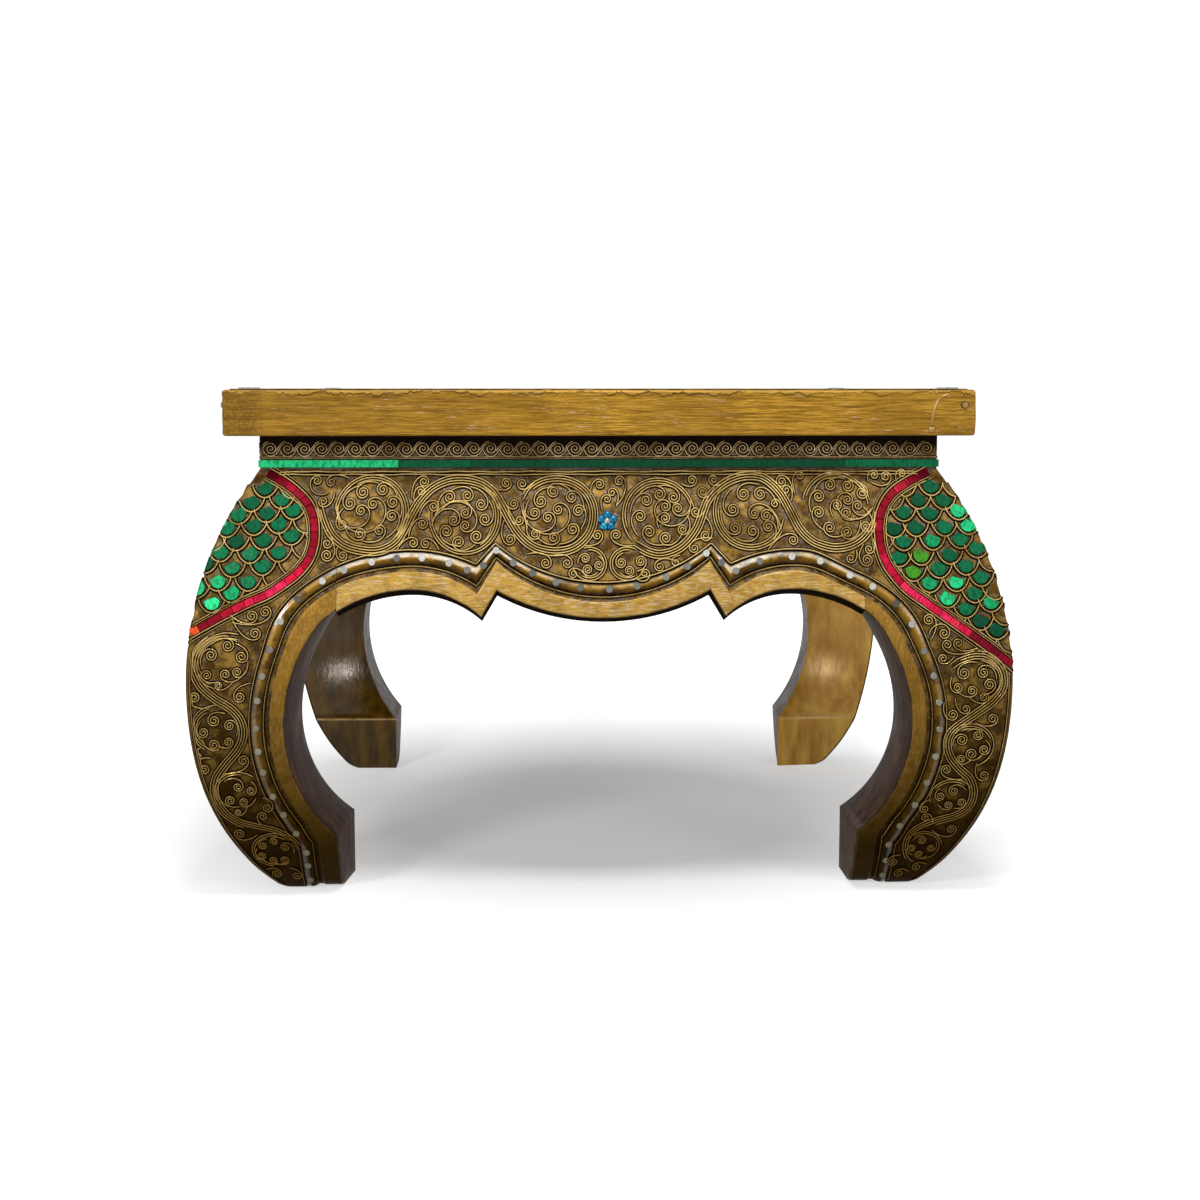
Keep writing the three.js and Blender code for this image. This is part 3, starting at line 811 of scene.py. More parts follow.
LOW_ORNAMENT = Ornament(
    roundels=(
        Roundel(297, 200.5, 24.6, 22.4, 1, ((0, -70, 60), (2, -60, 100), (4, -30, 120)),
            ((294.2, 213.2, 44, 190), (307.4, 205.8, 40, 200), (283.5, 204.5, 44, 190),
            (310.9, 190.1, 34, 180, 4), (296.2, 190.7, 60, 170, 4), (286.9, 192.5, 44, 180, 3.8),
            (301.6, 181.8, 36, 170, 3))),
        Roundel(303, 147, 21.5, 19.5, -1, ((0, 88, -60), (2, 70, -90), (4, 60, -50)),
            ((306.2, 153.9, 44, 190), (294.1, 149.8, 44, 190, 4), (315, 144.3, 40, 190, 4),
            (307.1, 134.1, 40, 190), (295.6, 136.3, 36, 180, 3.6))),
        Roundel(290, 94.5, 19, 16.8, 1, ((0, -40, 130), (2, -60, 100)), ((290.2, 98.8, 44, 190, 3.8),
            (279.9, 95.5, 40, 180, 3.6), (296.9, 86.9, 40, 180, 3.8), (286, 85.5, 44, 180, 3.6),
            (291.5, 76.5, 30, 170, 2.8))),
        Roundel(265, 41, 19, 16, -1, ((0, 120, -80), (2, 100, -120)), ((274.8, 45.8, 36, 170, 3.4),
            (265, 49.7, 36, 170, 3.2), (256.8, 43.8, 40, 170, 3.8), (277.1, 35.7, 36, 170, 3.6),
            (268.2, 31, 40, 170, 3.4), (258.8, 31.2, 40, 170, 3.6))),
    ),
    sprigs=(
        Sprig(275.5, 236, 17, 1, 190, -1, 4.2), Sprig(265, 239.2, 26, -8, 170, -1, 4.4),
        Sprig(273, 222.6, 18, 12, 215, -1, 4.4), Sprig(320.8, 172.3, -14, -7, -20, 1, 4.4),
        Sprig(285.5, 172.7, -8.5, 11, 235, -1, 4.2), Sprig(284.7, 120.9, 15.5, -11, 160, -1, 4),
        Sprig(315.6, 114.2, -5, 9, 20, -1, 4), Sprig(319.8, 125, -2, 6, 20, -1, 2.8),
        Sprig(292.2, 56.8, -14, -1, -20, 1, 4.2), Sprig(268.2, 80.4, 3, 9, 190, 1, 3.6),
        Sprig(272.4, 72.8, 2, -7, 60, 1, 3.4), Sprig(267.4, 17.4, 8, 4, 160, 1, 4),
        Sprig(251, 15, 5, 8, 200, 1, 3.6),
    ),
    bundles=(
        Bundle(((286, 221), (297.7, 222), (309.5, 217.1), (318.8, 207.5), (321.3, 194.5), (316.1, 181.8),
            (305.3, 171.4), (292.8, 163.3), (285.4, 153.7), (283.7, 142.3), (288.2, 130.5), (298.5, 118),
            (307.1, 105.5), (308.8, 91.5), (303.4, 77.7), (292.9, 68.2), (279.4, 63.3), (265.8, 59.8),
            (255.5, 54.2), (248.6, 46.4), (246, 36.1)), ((0, .97), (.03, .99), (0, .94), (.08, .8))),
    ),
)

STEEP_ORNAMENT = Ornament(
    roundels=(
        Roundel(296, 184, 24.2, 19.8, 1, ((4, 30, 75), (2, -60, 60)), ((287.9, 189.1, 60, 230),
            (303.5, 189.6, 44, 190), (308.6, 179.8, 40, 180), (283, 177.5, 40, 190, 4),
            (294.6, 174.9, 44, 180, 4), (304.4, 169.5, 40, 180, 4))),
        Roundel(294.5, 130, 19.5, 18, -1, ((0, 120, -70), (2, 130, 20), (4, 120, 50)),
            ((287.8, 134.8, 40, 190), (300.5, 138.6, 44, 190, 4), (296.5, 122.9, 44, 190),
            (306.4, 126.6, 40, 190, 4), (288.3, 118.7, 36, 180, 3.6))),
        Roundel(283, 86.5, 17.5, 14.8, 1, ((0, 30, 200), (2, 50, 150)), ((284.5, 91.3, 44, 190, 3.8),
            (273.8, 86.7, 40, 180, 3.6), (280.9, 78.6, 40, 180, 3.4), (291.5, 81, 40, 180, 3.4))),
        Roundel(265, 40, 15.5, 14.5, -1, ((0, 150, 10), (2, 130, -90)), ((263.3, 46, 40, 180, 3.4),
            (272, 38.5, 40, 180, 3.2), (256, 38, 40, 180, 3.4), (263, 32.5, 40, 180, 3.2))),
    ),
    sprigs=(
        Sprig(259.8, 231.2, 1, -16, 75, 1, 4.2), Sprig(271.9, 220.7, -12, -1, 80, -1, 4.4),
        Sprig(274.4, 211.7, 22, -5, 180, -1, 3.8), Sprig(283.2, 212.8, 15, -4, 185, -1, 3.6),
        Sprig(271, 200.8, 9, 2, 230, -1, 3.6), Sprig(279.6, 155.7, -7, 10, -60, 1, 4.2),
        Sprig(290.2, 160.1, -9, 9, -50, 1, 3.4), Sprig(311.9, 152, -14, -3, -25, 1, 4),
        Sprig(277, 109.7, 14, -8, 180, -1, 4), Sprig(307.6, 104.6, -6, 11, -110, 1, 4),
        Sprig(262.2, 75.6, 4, 8, 190, 1, 3.2), Sprig(264, 67.4, 6, -6, 100, 1, 3.4),
        Sprig(286.2, 56.4, -16, 0, -50, 1, 4.2), Sprig(242.5, 24.7, 6, 7, 190, 1, 3.8),
        Sprig(263.2, 19, 8, 3, 160, 1, 3.4), Sprig(249.7, 12.3, 8, 2, 165, 1, 3.6),
    ),
    bundles=(
        Bundle(((277, 195), (284.4, 200), (296, 203.4), (307.4, 201.9), (317.3, 192.7), (319.8, 179.3),
            (312.3, 166.9), (296.8, 155.1), (284.3, 146.3), (277.8, 138.9), (276.6, 129.1), (280.1, 119.4),
            (287.3, 110.6), (296.8, 101.4), (300.8, 89), (297.9, 77.2), (289.1, 69.7), (273.8, 64.5),
            (259.8, 58.1), (252.5, 49.2), (252, 37.2), (256.8, 27.8), (264.2, 24.7)), ((0, .97), (.03, .99),
            (0, .94), (.08, .8))),
    ),
)

LEG_PATTERNS = {
    LegKind.LOW: LegPattern(
        ornament=LOW_ORNAMENT,
        band=(
            (267.8, 346.4), (253, 338.3), (242.3, 330.4), (233.7, 321.5), (229.2, 311.6), (227.8, 299.8),
            (228.4, 290.1), (232.1, 279.3), (239.9, 269.5), (249.8, 261.7), (263.7, 252.9),
            (279.5, 246.1), (299.3, 236.3), (319.1, 225.5), (329, 219.6),
        ),
        scales=(
            (268.6, 334.4), (278.8, 323.6), (254.9, 325.9), (288.3, 314.1), (266.2, 315.3),
            (245.3, 317.6), (297, 304), (275.8, 305.5), (256.3, 306.8), (289.3, 293.8), (267.9, 294.5),
            (245.9, 298), (301.2, 285.4), (277.9, 284), (255.5, 285.3), (312.8, 276.6), (291.5, 273.6),
            (267.8, 274.9), (302.4, 262.9), (278.8, 262.8), (318.6, 257.6), (291.6, 254), (306.8, 246.2),
        ),
        reds="2010010013344331005",
        greens="00110110120111121151554",
        dots=(263, 249, 231.9, 209.8, 188.8, 169.3, 146.9, 127.8, 110.3, 89.4, 73.1, 55.6, 37.2, 24, 8.5),
        set_back=4.4,
        rim_top=205),
    LegKind.STEEP: LegPattern(
        ornament=STEEP_ORNAMENT,
        band=(
            (266.7, 346.7), (252.7, 340.3), (236.9, 330.8), (227.6, 319.6), (223.6, 308.5), (222.7, 299),
            (223.3, 289.5), (226.1, 278.4), (231.4, 268.9), (242.4, 256.1), (255.2, 246.6),
            (271.2, 235.4), (287.4, 224.1), (303.5, 212.8), (321.6, 199.1), (330, 192),
        ),
        scales=(
            (267.4, 335.2), (256.2, 324.8), (276.5, 324.3), (243.4, 315.3), (264.4, 314.3),
            (287.7, 316.3), (234.8, 302.6), (252.6, 303.4), (275.6, 303.6), (295, 304.9), (241.9, 292.6),
            (265.3, 292.9), (287.6, 294.1), (237.6, 280), (255.3, 281.2), (278.6, 281.9), (300.6, 286.9),
            (248.6, 268.8), (269.4, 271.2), (291, 273.5), (261.3, 260.1), (282.6, 260.8), (302.7, 264.7),
            (275.3, 248.1), (297, 252), (309.8, 244.8), (289.8, 240.1), (301.3, 230.5), (314.3, 223.3),
        ),
        reds="20100101334443432222",
        greens="02000420141511301311541415122",
        dots=(257.5, 244, 227.8, 206.6, 186.8, 165.4, 143.3, 120.5, 98, 78.3, 59, 41, 25, 9),
        set_back=.6,
        rim_top=190),
}


# Threads and tiles

@dataclass(frozen=True)
class Thread:
    """A half round thread with a thin skirt of dark lacquer along both feet.

    A knot of its profile is (share of the width, share of the height, value for the finish). The skirt is
    (share of the width, share of the height), or a depth in millimetres where that is negative. Every
    second point is lower by the share `bead`, which makes a row of beads.
    """

    width: float = 1.5
    height: float = 1.2
    bead: float = 0.0
    skirt: tuple[float, float] = (.92, .06)
    knots: tuple[tuple[float, float, float], ...] = (
        (-.5, .1, .0), (-.36, .68, .52), (0, 1, 1), (.36, .68, .52), (.5, .1, .0))

    def lay_on(self, shape: Shape, path: np.ndarray, face: Face) -> None:
        """Adds the thread along a path.

        Args:
            shape: Shape that takes it.
            path: Its middle line, drawn flat.
            face: Surface that carries it.
        """
        aside = sideways(path)
        count = len(path)
        swell = np.where(np.arange(count) % 2 == 0, 1.0, 1.0 - self.bead)
        swell[[0, -1]] *= .85
        reach, rise = self.skirt
        knots = ((-reach, rise, 0.0), *self.knots, (reach, rise, 0.0))
        rows = []
        for across, up, _ in knots:
            flat = path + aside * (across * self.width * (swell if up > 0 else np.ones(count)))[:, None]
            rows.append(face.on(flat, up * self.height * swell if up > 0 else np.full(count, up)))
        points = np.stack(rows, axis=1).reshape(-1, 3)
        crest = np.tile([knot[2] for knot in knots], count) * np.repeat(.7 + .3 * swell, len(knots))
        shape.add(points, tube_faces(count, len(knots), face.flip > 0), crest=crest)


def closing_lines(shape: Shape, face: Face, x: np.ndarray) -> None:
    """Adds the two uneven threads under the upper edge of the boards.

    Args:
        shape: Shape that takes them.
        face: Surface that carries them.
        x: Places of their points to the right of the middle.
    """
    for z, width in ((346.9, 1.5), (344.7, 1.3)):
        wave = .25 * np.sin(x * .11 + z) + .15 * np.sin(x * .31)
        Thread(width).lay_on(shape, np.stack([x, z + wave], axis=1), face)


def tile(shape: Shape, outline: Sequence[Point] | np.ndarray, face: Face, base: float, thick: float,
         tone: float = 0.0, tilt: Point = (0.0, 0.0), finish: int = 0) -> None:
    """Adds a flat tile with a bevelled edge.

    Args:
        shape: Shape that takes the tile.
        outline: Corners, counterclockwise as seen from the front.
        face: Surface that carries it.
        base: Height of its back over the surface.
        thick: Its thickness.
        tone: Value that picks its colour.
        tilt: Rise of its face per millimetre to the right and upwards.
        finish: Which finish of the piece it takes.
    """
    inwards, down = .35, .25
    pts = np.asarray(outline, float)
    middle = pts.mean(axis=0)
    inner = middle + (pts - middle) * (1 - inwards / np.linalg.norm(pts - middle, axis=1).mean())
    rise = (pts - middle) @ np.asarray(tilt)
    rings = [face.on(pts, np.full(len(pts), base)), face.on(pts, base + thick - down + rise),
             face.on(inner, base + thick + rise)]
    shape.add(np.vstack(rings), tube_faces(3, len(pts), face.flip < 0), finish, tone=tone)


def silver_dot(shape: Shape, x: float, z: float, face: Face, tone: float) -> None:
    """Adds one round mirror, sunk in the moulding."""
    tile(shape, circle(x, z, 2.75, 14), face, -1.6, 1.75, tone)


def mirror_flower(shape: Shape, x: float, z: float, face: Face, size: float) -> None:
    """Adds a backing disc, five rounded petals and a pale centre.

    Args:
        shape: Shape that takes the flower.
        x: Place of its middle to the right.
        z: Place of its middle upwards.
        face: Surface that carries it.
        size: Factor on its sizes.
    """
    angle = np.linspace(0, 2 * math.pi, 16, endpoint=False)

    def disc(at: Point, radius: float, base: float, thick: float, tone: float, wobble: float = 0.0,
             finish: int = 0) -> None:
        """Adds one disc, whose radius varies by the share `wobble`."""
        reach = radius * size * (1 + wobble * np.cos(3 * angle + at[0]))
        tile(shape, arc(*at, reach, angle), face, base, thick, tone, finish=finish)
    disc((x, z), 5.6, -.4, .9, .3, finish=1)
    for petal in range(5):
        turn = math.radians(90 + 72 * petal)
        middle = (x + 4.3 * size * math.cos(turn), z + 4.3 * size * math.sin(turn))
        disc(middle, 2.45, .3, 1.1, (petal * 2 % 3) / 4 + .05, .05)
    disc((x, z), 1.9, .3, 1.25, .8)


# Finishes, in metres

Stretch = tuple[float, float, float]
Given = Socket | float | Tint | Stretch


@dataclass(frozen=True)
class Spots:
    """A noise pattern: it shows as `least` up to the noise value `low` and as `most` from `high` on."""

    scale: float
    detail: float
    low: float
    high: float
    least: float = 0.0
    most: float = 1.0
    rough: float = .55


class Tree:
    """Short calls for the nodes of one tree."""

    def __init__(self, tree: bpy.types.NodeTree) -> None:
        """Takes the tree."""
        self.tree = tree

    def put(self, socket: Socket, value: Given) -> None:
        """Links or sets an input.

        Args:
            socket: The input.
            value: A socket to link to it, or a plain value.
        """
        if isinstance(value, bpy.types.NodeSocket):
            self.tree.links.new(value, socket)
        else:
            socket.default_value = value

    def node(self, kind: str, inputs: dict[int | str, Given] | None = None,
             **settings: str | int) -> bpy.types.Node:
        """Adds a node.

        Args:
            kind: Its type, without ShaderNode.
            inputs: What its inputs get, by number or name.
            **settings: Its settings.

        Returns:
            The node.
        """
        node = self.tree.nodes.new("ShaderNode" + kind)
        for name, value in settings.items():
            setattr(node, name, value)
        for name, value in (inputs or {}).items():
            self.put(node.inputs[name], value)
        return node

    def span(self, value: Socket, low: Socket | float, high: Socket | float, to_low: float = 0.0,
             to_high: float = 1.0) -> Socket:
        """Maps low..high onto to_low..to_high and holds it there."""
        return self.node("MapRange", dict(enumerate((value, low, high, to_low, to_high)))).outputs[0]

    def sum(self, operation: str, first: Socket | float, second: Socket | float) -> Socket:
        """Arithmetic on two values, kept within 0 and 1."""
        return self.node("Math", {0: first, 1: second}, operation=operation, use_clamp=True).outputs[0]

    def times(self, first: Socket, *others: Socket | float) -> Socket:
        """Product of values within 0 and 1.

        Args:
            first: One value.
            *others: The other ones.

        Returns:
            The product.
        """
        for other in others:
            first = self.sum("MULTIPLY", first, other)
        return first

    def seen(self) -> Socket:
        """What the camera sees, also in a mirror or through glass.

        Returns:
            1 for such a ray and 0 for any other.
        """
        rays = self.node("LightPath").outputs
        direct = self.sum("ADD", rays["Is Camera Ray"], rays["Is Glossy Ray"])
        return self.sum("ADD", direct, rays["Is Transmission Ray"])


class Nodes(Tree):
    """One node material with a Principled shader."""

    def __init__(self, name: str, metal: float, rough: float) -> None:
        """Starts the material.

        Args:
            name: Its name.
            metal: Its metallic value.
            rough: Its roughness.
        """
        self.material = bpy.data.materials.new(name)
        self.material.use_nodes = True
        super().__init__(self.material.node_tree)
        self.tree.nodes.clear()
        self.shader = self.node("BsdfPrincipled", {"Metallic": metal, "Roughness": rough})
        self.node("OutputMaterial", {0: self.shader.outputs[0]})
        self.place = self.node("TexCoord").outputs["Object"]

    def set(self, name: str, value: Given) -> None:
        """Links or sets an input of the shader."""
        self.put(self.shader.inputs[name], value)

    def noise(self, scale: float, detail: float, stretch: Stretch = (1, 1, 1), rough: float = .55) -> Socket:
        """Noise in object space.

        Args:
            scale: How many waves lie in a metre.
            detail: How many finer layers it has.
            stretch: Factor on each axis; a low number draws it out along that axis.
            rough: Share of the finer layers.

        Returns:
            The noise, around .5.
        """
        at = self.node("Mapping", {"Scale": stretch, "Vector": self.place}).outputs[0]
        look = {"Scale": scale, "Detail": detail, "Roughness": rough}
        return self.node("TexNoise", look | {"Vector": at}).outputs[0]

    def spots(self, spots: Spots, stretch: Stretch = (1, 1, 1)) -> Socket:
        """How much of a noise pattern shows."""
        value = self.noise(spots.scale, spots.detail, stretch, spots.rough)
        return self.span(value, spots.low, spots.high, spots.least, spots.most)

    def value(self, name: str) -> Socket:
        """A value that the mesh carries."""
        return self.node("Attribute", attribute_name=name).outputs["Fac"]

    def axis(self, number: int) -> Socket:
        """Place along one axis."""
        return self.node("SeparateXYZ", {0: self.place}).outputs[number]

    def rise(self, low: Socket | float, high: Socket | float, to_low: float = 0.0,
             to_high: float = 1.0) -> Socket:
        """As `span`, for the height over the floor."""
        return self.span(self.axis(2), low, high, to_low, to_high)

    def mix(self, share: Socket | float, first: Given, second: Given, blend: str = "MIX") -> Socket:
        """Mixes two colours."""
        inputs = {0: share, 6: first, 7: second}
        return self.node("Mix", inputs, data_type="RGBA", blend_type=blend).outputs[2]

    def ramp(self, value: Socket, stops: Sequence[tuple[float, Tint]]) -> Socket:
        """Picks colours by a value.

        Args:
            value: The value.
            stops: Values from low to high with the colour at each.

        Returns:
            The colour.
        """
        node = self.node("ValToRGB", {0: value})
        elements = node.color_ramp.elements
        while len(elements) < len(stops):
            elements.new(1.0)
        for element, (at, tint) in zip(elements, stops):
            element.position = at
            element.color = tint
        return node.outputs[0]

    def bump(self, height: Socket, depth: float, strength: float, under: Socket | None = None) -> Socket:
        """Bump of the given depth, over an earlier bump."""
        inputs = {"Height": height, "Distance": depth, "Strength": strength}
        return self.node("Bump", inputs | ({"Normal": under} if under else {})).outputs[0]

    def nook(self, reach: float) -> Socket:
        """1 in the open and 0 deep in a corner, within the given reach."""
        return self.node("AmbientOcclusion", {"Distance": reach}, samples=6).outputs["AO"]


@dataclass(frozen=True)
class GiltCarving:
    """Gold lacquer over dark ground on the carved boards, black in the grooves and rubbed on the border."""

    name: str = "gilt carving"
    grain: Stretch = (.12, .12, 1)
    groove: Tint = linear(34, 22, 8)
    ground: Tint = linear(88, 62, 18)
    patch: Tint = linear(160, 124, 52)
    # Painted shade on the lower side of the rounded band
    under: Tint = linear(84, 56, 10)
    band: Tint = linear(140, 102, 24)
    # Painted light on the upper side of the rounded band
    upper: Tint = linear(196, 156, 74)
    border: Tint = linear(190, 148, 64)
    shade: Tint = linear(14, 8, 3)
    dark: Tint = linear(48, 32, 10)
    # Pale dust, and also the painted glints in a ring beside the threads
    dust: Tint = linear(170, 162, 158)
    rub: Tint = linear(232, 216, 184)
    scratch: Tint = linear(112, 82, 30)
    # Painted highlight: whitish glints on the upper side of the rounded band
    painted_highlight: Tint = linear(250, 246, 236)
    # Painted shade, darker towards the floor
    foot: Tint = linear(26, 14, 0)
    wear: float = .45
    patches: Spots = Spots(90, 8, .46, .6, rough=.62)
    stains: Spots = Spots(75, 8, .47, .58, most=.75, rough=.68)
    # Fine spots of the pale dust and of the painted glints
    dust_and_glints: Spots = Spots(300, 6, .48, .56, rough=.7)
    clouds: Spots = Spots(38, 4, .5, .62, most=.5)
    grit: Spots = Spots(520, 5, .51, .57, rough=.7)
    broad_glints: Spots = Spots(34, 6, .42, .5, .3, rough=.6)
    fine_glints: Spots = Spots(420, 5, .42, .52, .55, rough=.7)
    roughness: Spots = Spots(120, 3, .35, .7, .26, .46)

    def make(self) -> Material:
        """Makes the material.

        The mesh carries `zone`: 0 in a groove, .3 on the ground, .46 under the rounded band, .6 on its front,
        .7 on its upper side and 1 on the plain border.

        Returns:
            The material.
        """
        n = Nodes(self.name, .12, .4)
        zone, open_air = n.value("zone"), n.nook(.005)
        ground = n.times(n.span(zone, .15, .26), n.span(zone, .5, .36))
        border = n.span(zone, .85, .98)
        # The ramp gives painted shade under the rounded band and painted light on its upper side
        gold = n.ramp(zone, ((0, self.groove), (.3, self.ground), (.46, self.under), (.6, self.band),
                             (.7, self.upper), (1, self.border)))
        gold = n.mix(n.times(n.spots(self.patches), ground), gold, self.patch)
        gold = n.mix(n.times(n.spots(self.stains), n.span(zone, .75, .9, 1, .4)), gold, self.dark)
        # Painted glints in a ring beside the threads, and pale dust in clouds, more of both higher up
        glints_beside_threads = n.times(n.span(open_air, .62, .74), n.span(open_air, .97, .86), .85)
        clouds = n.times(n.spots(self.clouds), n.spots(self.grit))
        dust_and_glints = n.times(n.spots(self.dust_and_glints), n.rise(.1, .34, .2, 1), n.sum("ADD", glints_beside_threads, clouds))
        gold = n.mix(n.times(dust_and_glints, ground), gold, self.dust)
        rubbed = n.spots(Spots(900, 6, .5, .6, most=self.wear, rough=.7), self.grain)
        gold = n.mix(n.times(rubbed, border), gold, self.rub)
        scratched = n.spots(Spots(760, 7, .52, .6, most=self.wear, rough=.72), self.grain)
        gold = n.mix(n.times(scratched, border), gold, self.scratch)
        gold = n.mix(n.span(open_air, .5, .94, .97, 0), gold, self.shade)
        # Painted highlight on the upper side of the apron's rounded band
        painted_highlight = n.times(n.span(zone, .61, .66), n.span(zone, .76, .71), n.spots(self.broad_glints),
                        n.spots(self.fine_glints, self.grain), n.rise(.258, .292))
        gold = n.mix(painted_highlight, gold, self.painted_highlight)
        # Painted shade towards the floor
        n.set("Base Color", n.mix(n.rise(.04, .25, .94, 0), gold, self.foot))
        n.set("Roughness", n.spots(self.roughness))
        # The plain value stays where a link is lost
        n.set("Specular IOR Level", .2)
        n.set("Specular IOR Level", n.times(n.span(zone, .05, .35, .03, .2), n.rise(.1, .34, .06, 1)))
        n.set("Specular Tint", linear(255, 220, 160))
        n.set("Coat Weight", n.times(n.span(zone, .56, .64), n.span(zone, .85, .72, 0, .7)))
        n.set("Coat Roughness", .16)
        fine = n.bump(n.noise(640, 5), .0005, .8)
        n.set("Normal", n.bump(n.noise(150, 3, (.6, .6, 1)), .0011, .6, fine))
        return n.material


@dataclass(frozen=True)
class GiltThread:
    """Gold on the raised threads: bright on the crest, dark along the foot, and darker low on the table."""

    name: str = "gilt thread"
    metal: float = .2
    # Heights between which painted shade darkens the threads, and its strongest share
    dark_from: float = .3
    dark_to: float = .05
    dark_share: float = .88
    foot: Tint = linear(12, 8, 4)
    # Darker flanks and bright crest: rubbed gold on the crest, and painted light and shade across the round
    # cord
    side: Tint = linear(112, 80, 24)
    crest: Tint = linear(252, 222, 144)
    glint: Tint = linear(255, 244, 214)
    dull: Tint = linear(118, 84, 30)
    # Painted shade low on the table, on the flanks and on the crest
    low_side: Tint = linear(26, 14, 0)
    low_crest: Tint = linear(150, 104, 28)
    dulled: Spots = Spots(34, 5, .46, .62, most=.65)
    glints: Spots = Spots(210, 3, .56, .68)
    roughness: Spots = Spots(300, 2, .35, .65, .2, .4)

    def make(self) -> Material:
        """Makes the material; the mesh carries `crest`, 1 along the top of a thread.

        Returns:
            The material.
        """
        n = Nodes(self.name, self.metal, .34)
        crest = n.value("crest")
        # Painted light on the crest and painted shade on the flanks, over the dark foot
        gold = n.ramp(crest, ((0, self.foot), (.26, self.foot), (.6, self.side), (.95, self.crest)))
        gold = n.mix(n.times(n.spots(self.dulled), n.span(crest, .1, .5)), gold, self.dull)
        gold = n.mix(n.times(n.spots(self.glints), n.span(crest, .7, 1, 0, .85)), gold, self.glint)
        # Painted shade that darkens the threads towards the floor
        low = n.mix(n.span(crest, .75, .98), self.low_side, self.low_crest)
        n.set("Base Color", n.mix(n.rise(self.dark_from, self.dark_to, 0, self.dark_share), gold, low))
        n.set("Roughness", n.spots(self.roughness))
        # The plain value stays where a link is lost
        n.set("Specular IOR Level", .3)
        n.set("Specular IOR Level", n.times(n.span(crest, .3, .9, .02, .5), n.rise(.06, .32, .2, 1)))
        n.set("Specular Tint", linear(255, 224, 160))
        n.set("Normal", n.bump(n.noise(900, 2), .0002, .4))
        return n.material


@dataclass(frozen=True)
class Mirror:
    """Tinted mirror foil: each tile takes its own tint, with a faint crackle of the foil behind the glass."""

    name: str
    tints: tuple[Tint, ...]
    deep: Tint
    pale: Tint = (1, 1, 1, 1)
    crackle: Spots = Spots(640, 6, .46, .62, most=.7, rough=.7)
    sparkle: Spots = Spots(480, 5, .58, .68, most=.3, rough=.7)
    upright: Stretch = (1, 1, .3)

    def make(self) -> Material:
        """Makes the material; the mesh carries `tone`, 0 to 1 through the tints.

        Returns:
            The material.
        """
        n = Nodes(self.name, .35, .3)
        stops = [((i + .5) / len(self.tints), tint) for i, tint in enumerate(self.tints)]
        tint = n.ramp(n.value("tone"), stops)
        tint = n.mix(n.spots(self.crackle, self.upright), tint, self.deep)
        n.set("Base Color", n.mix(n.spots(self.sparkle, self.upright), tint, self.pale, "SOFT_LIGHT"))
        n.set("Normal", n.bump(n.noise(260, 3), .0003, .35))
        n.set("Specular IOR Level", .14)
        return n.material


@dataclass(frozen=True)
class SilverDot:
    """Small round mirrors, some clear and some tarnished, and yellow low on the table."""

    clear: Tint = linear(214, 214, 208)
    stain: Tint = linear(66, 70, 64)
    dull: Tint = linear(96, 92, 70)
    yellow: Tint = linear(98, 88, 40)

    def make(self) -> Material:
        """Makes the material; the mesh carries `tone`, 1 where a dot is tarnished.

        Returns:
            The material.
        """
        n = Nodes("silver dot", .3, .28)
        tint = n.mix(n.value("tone"), self.clear, self.stain)
        tint = n.mix(n.spots(Spots(700, 3, .4, .7, most=.5)), tint, self.dull)
        n.set("Base Color", n.mix(n.rise(.05, .25, .8, 0), tint, self.yellow))
        n.set("Normal", n.bump(n.noise(500, 2), .0002, .4))
        return n.material


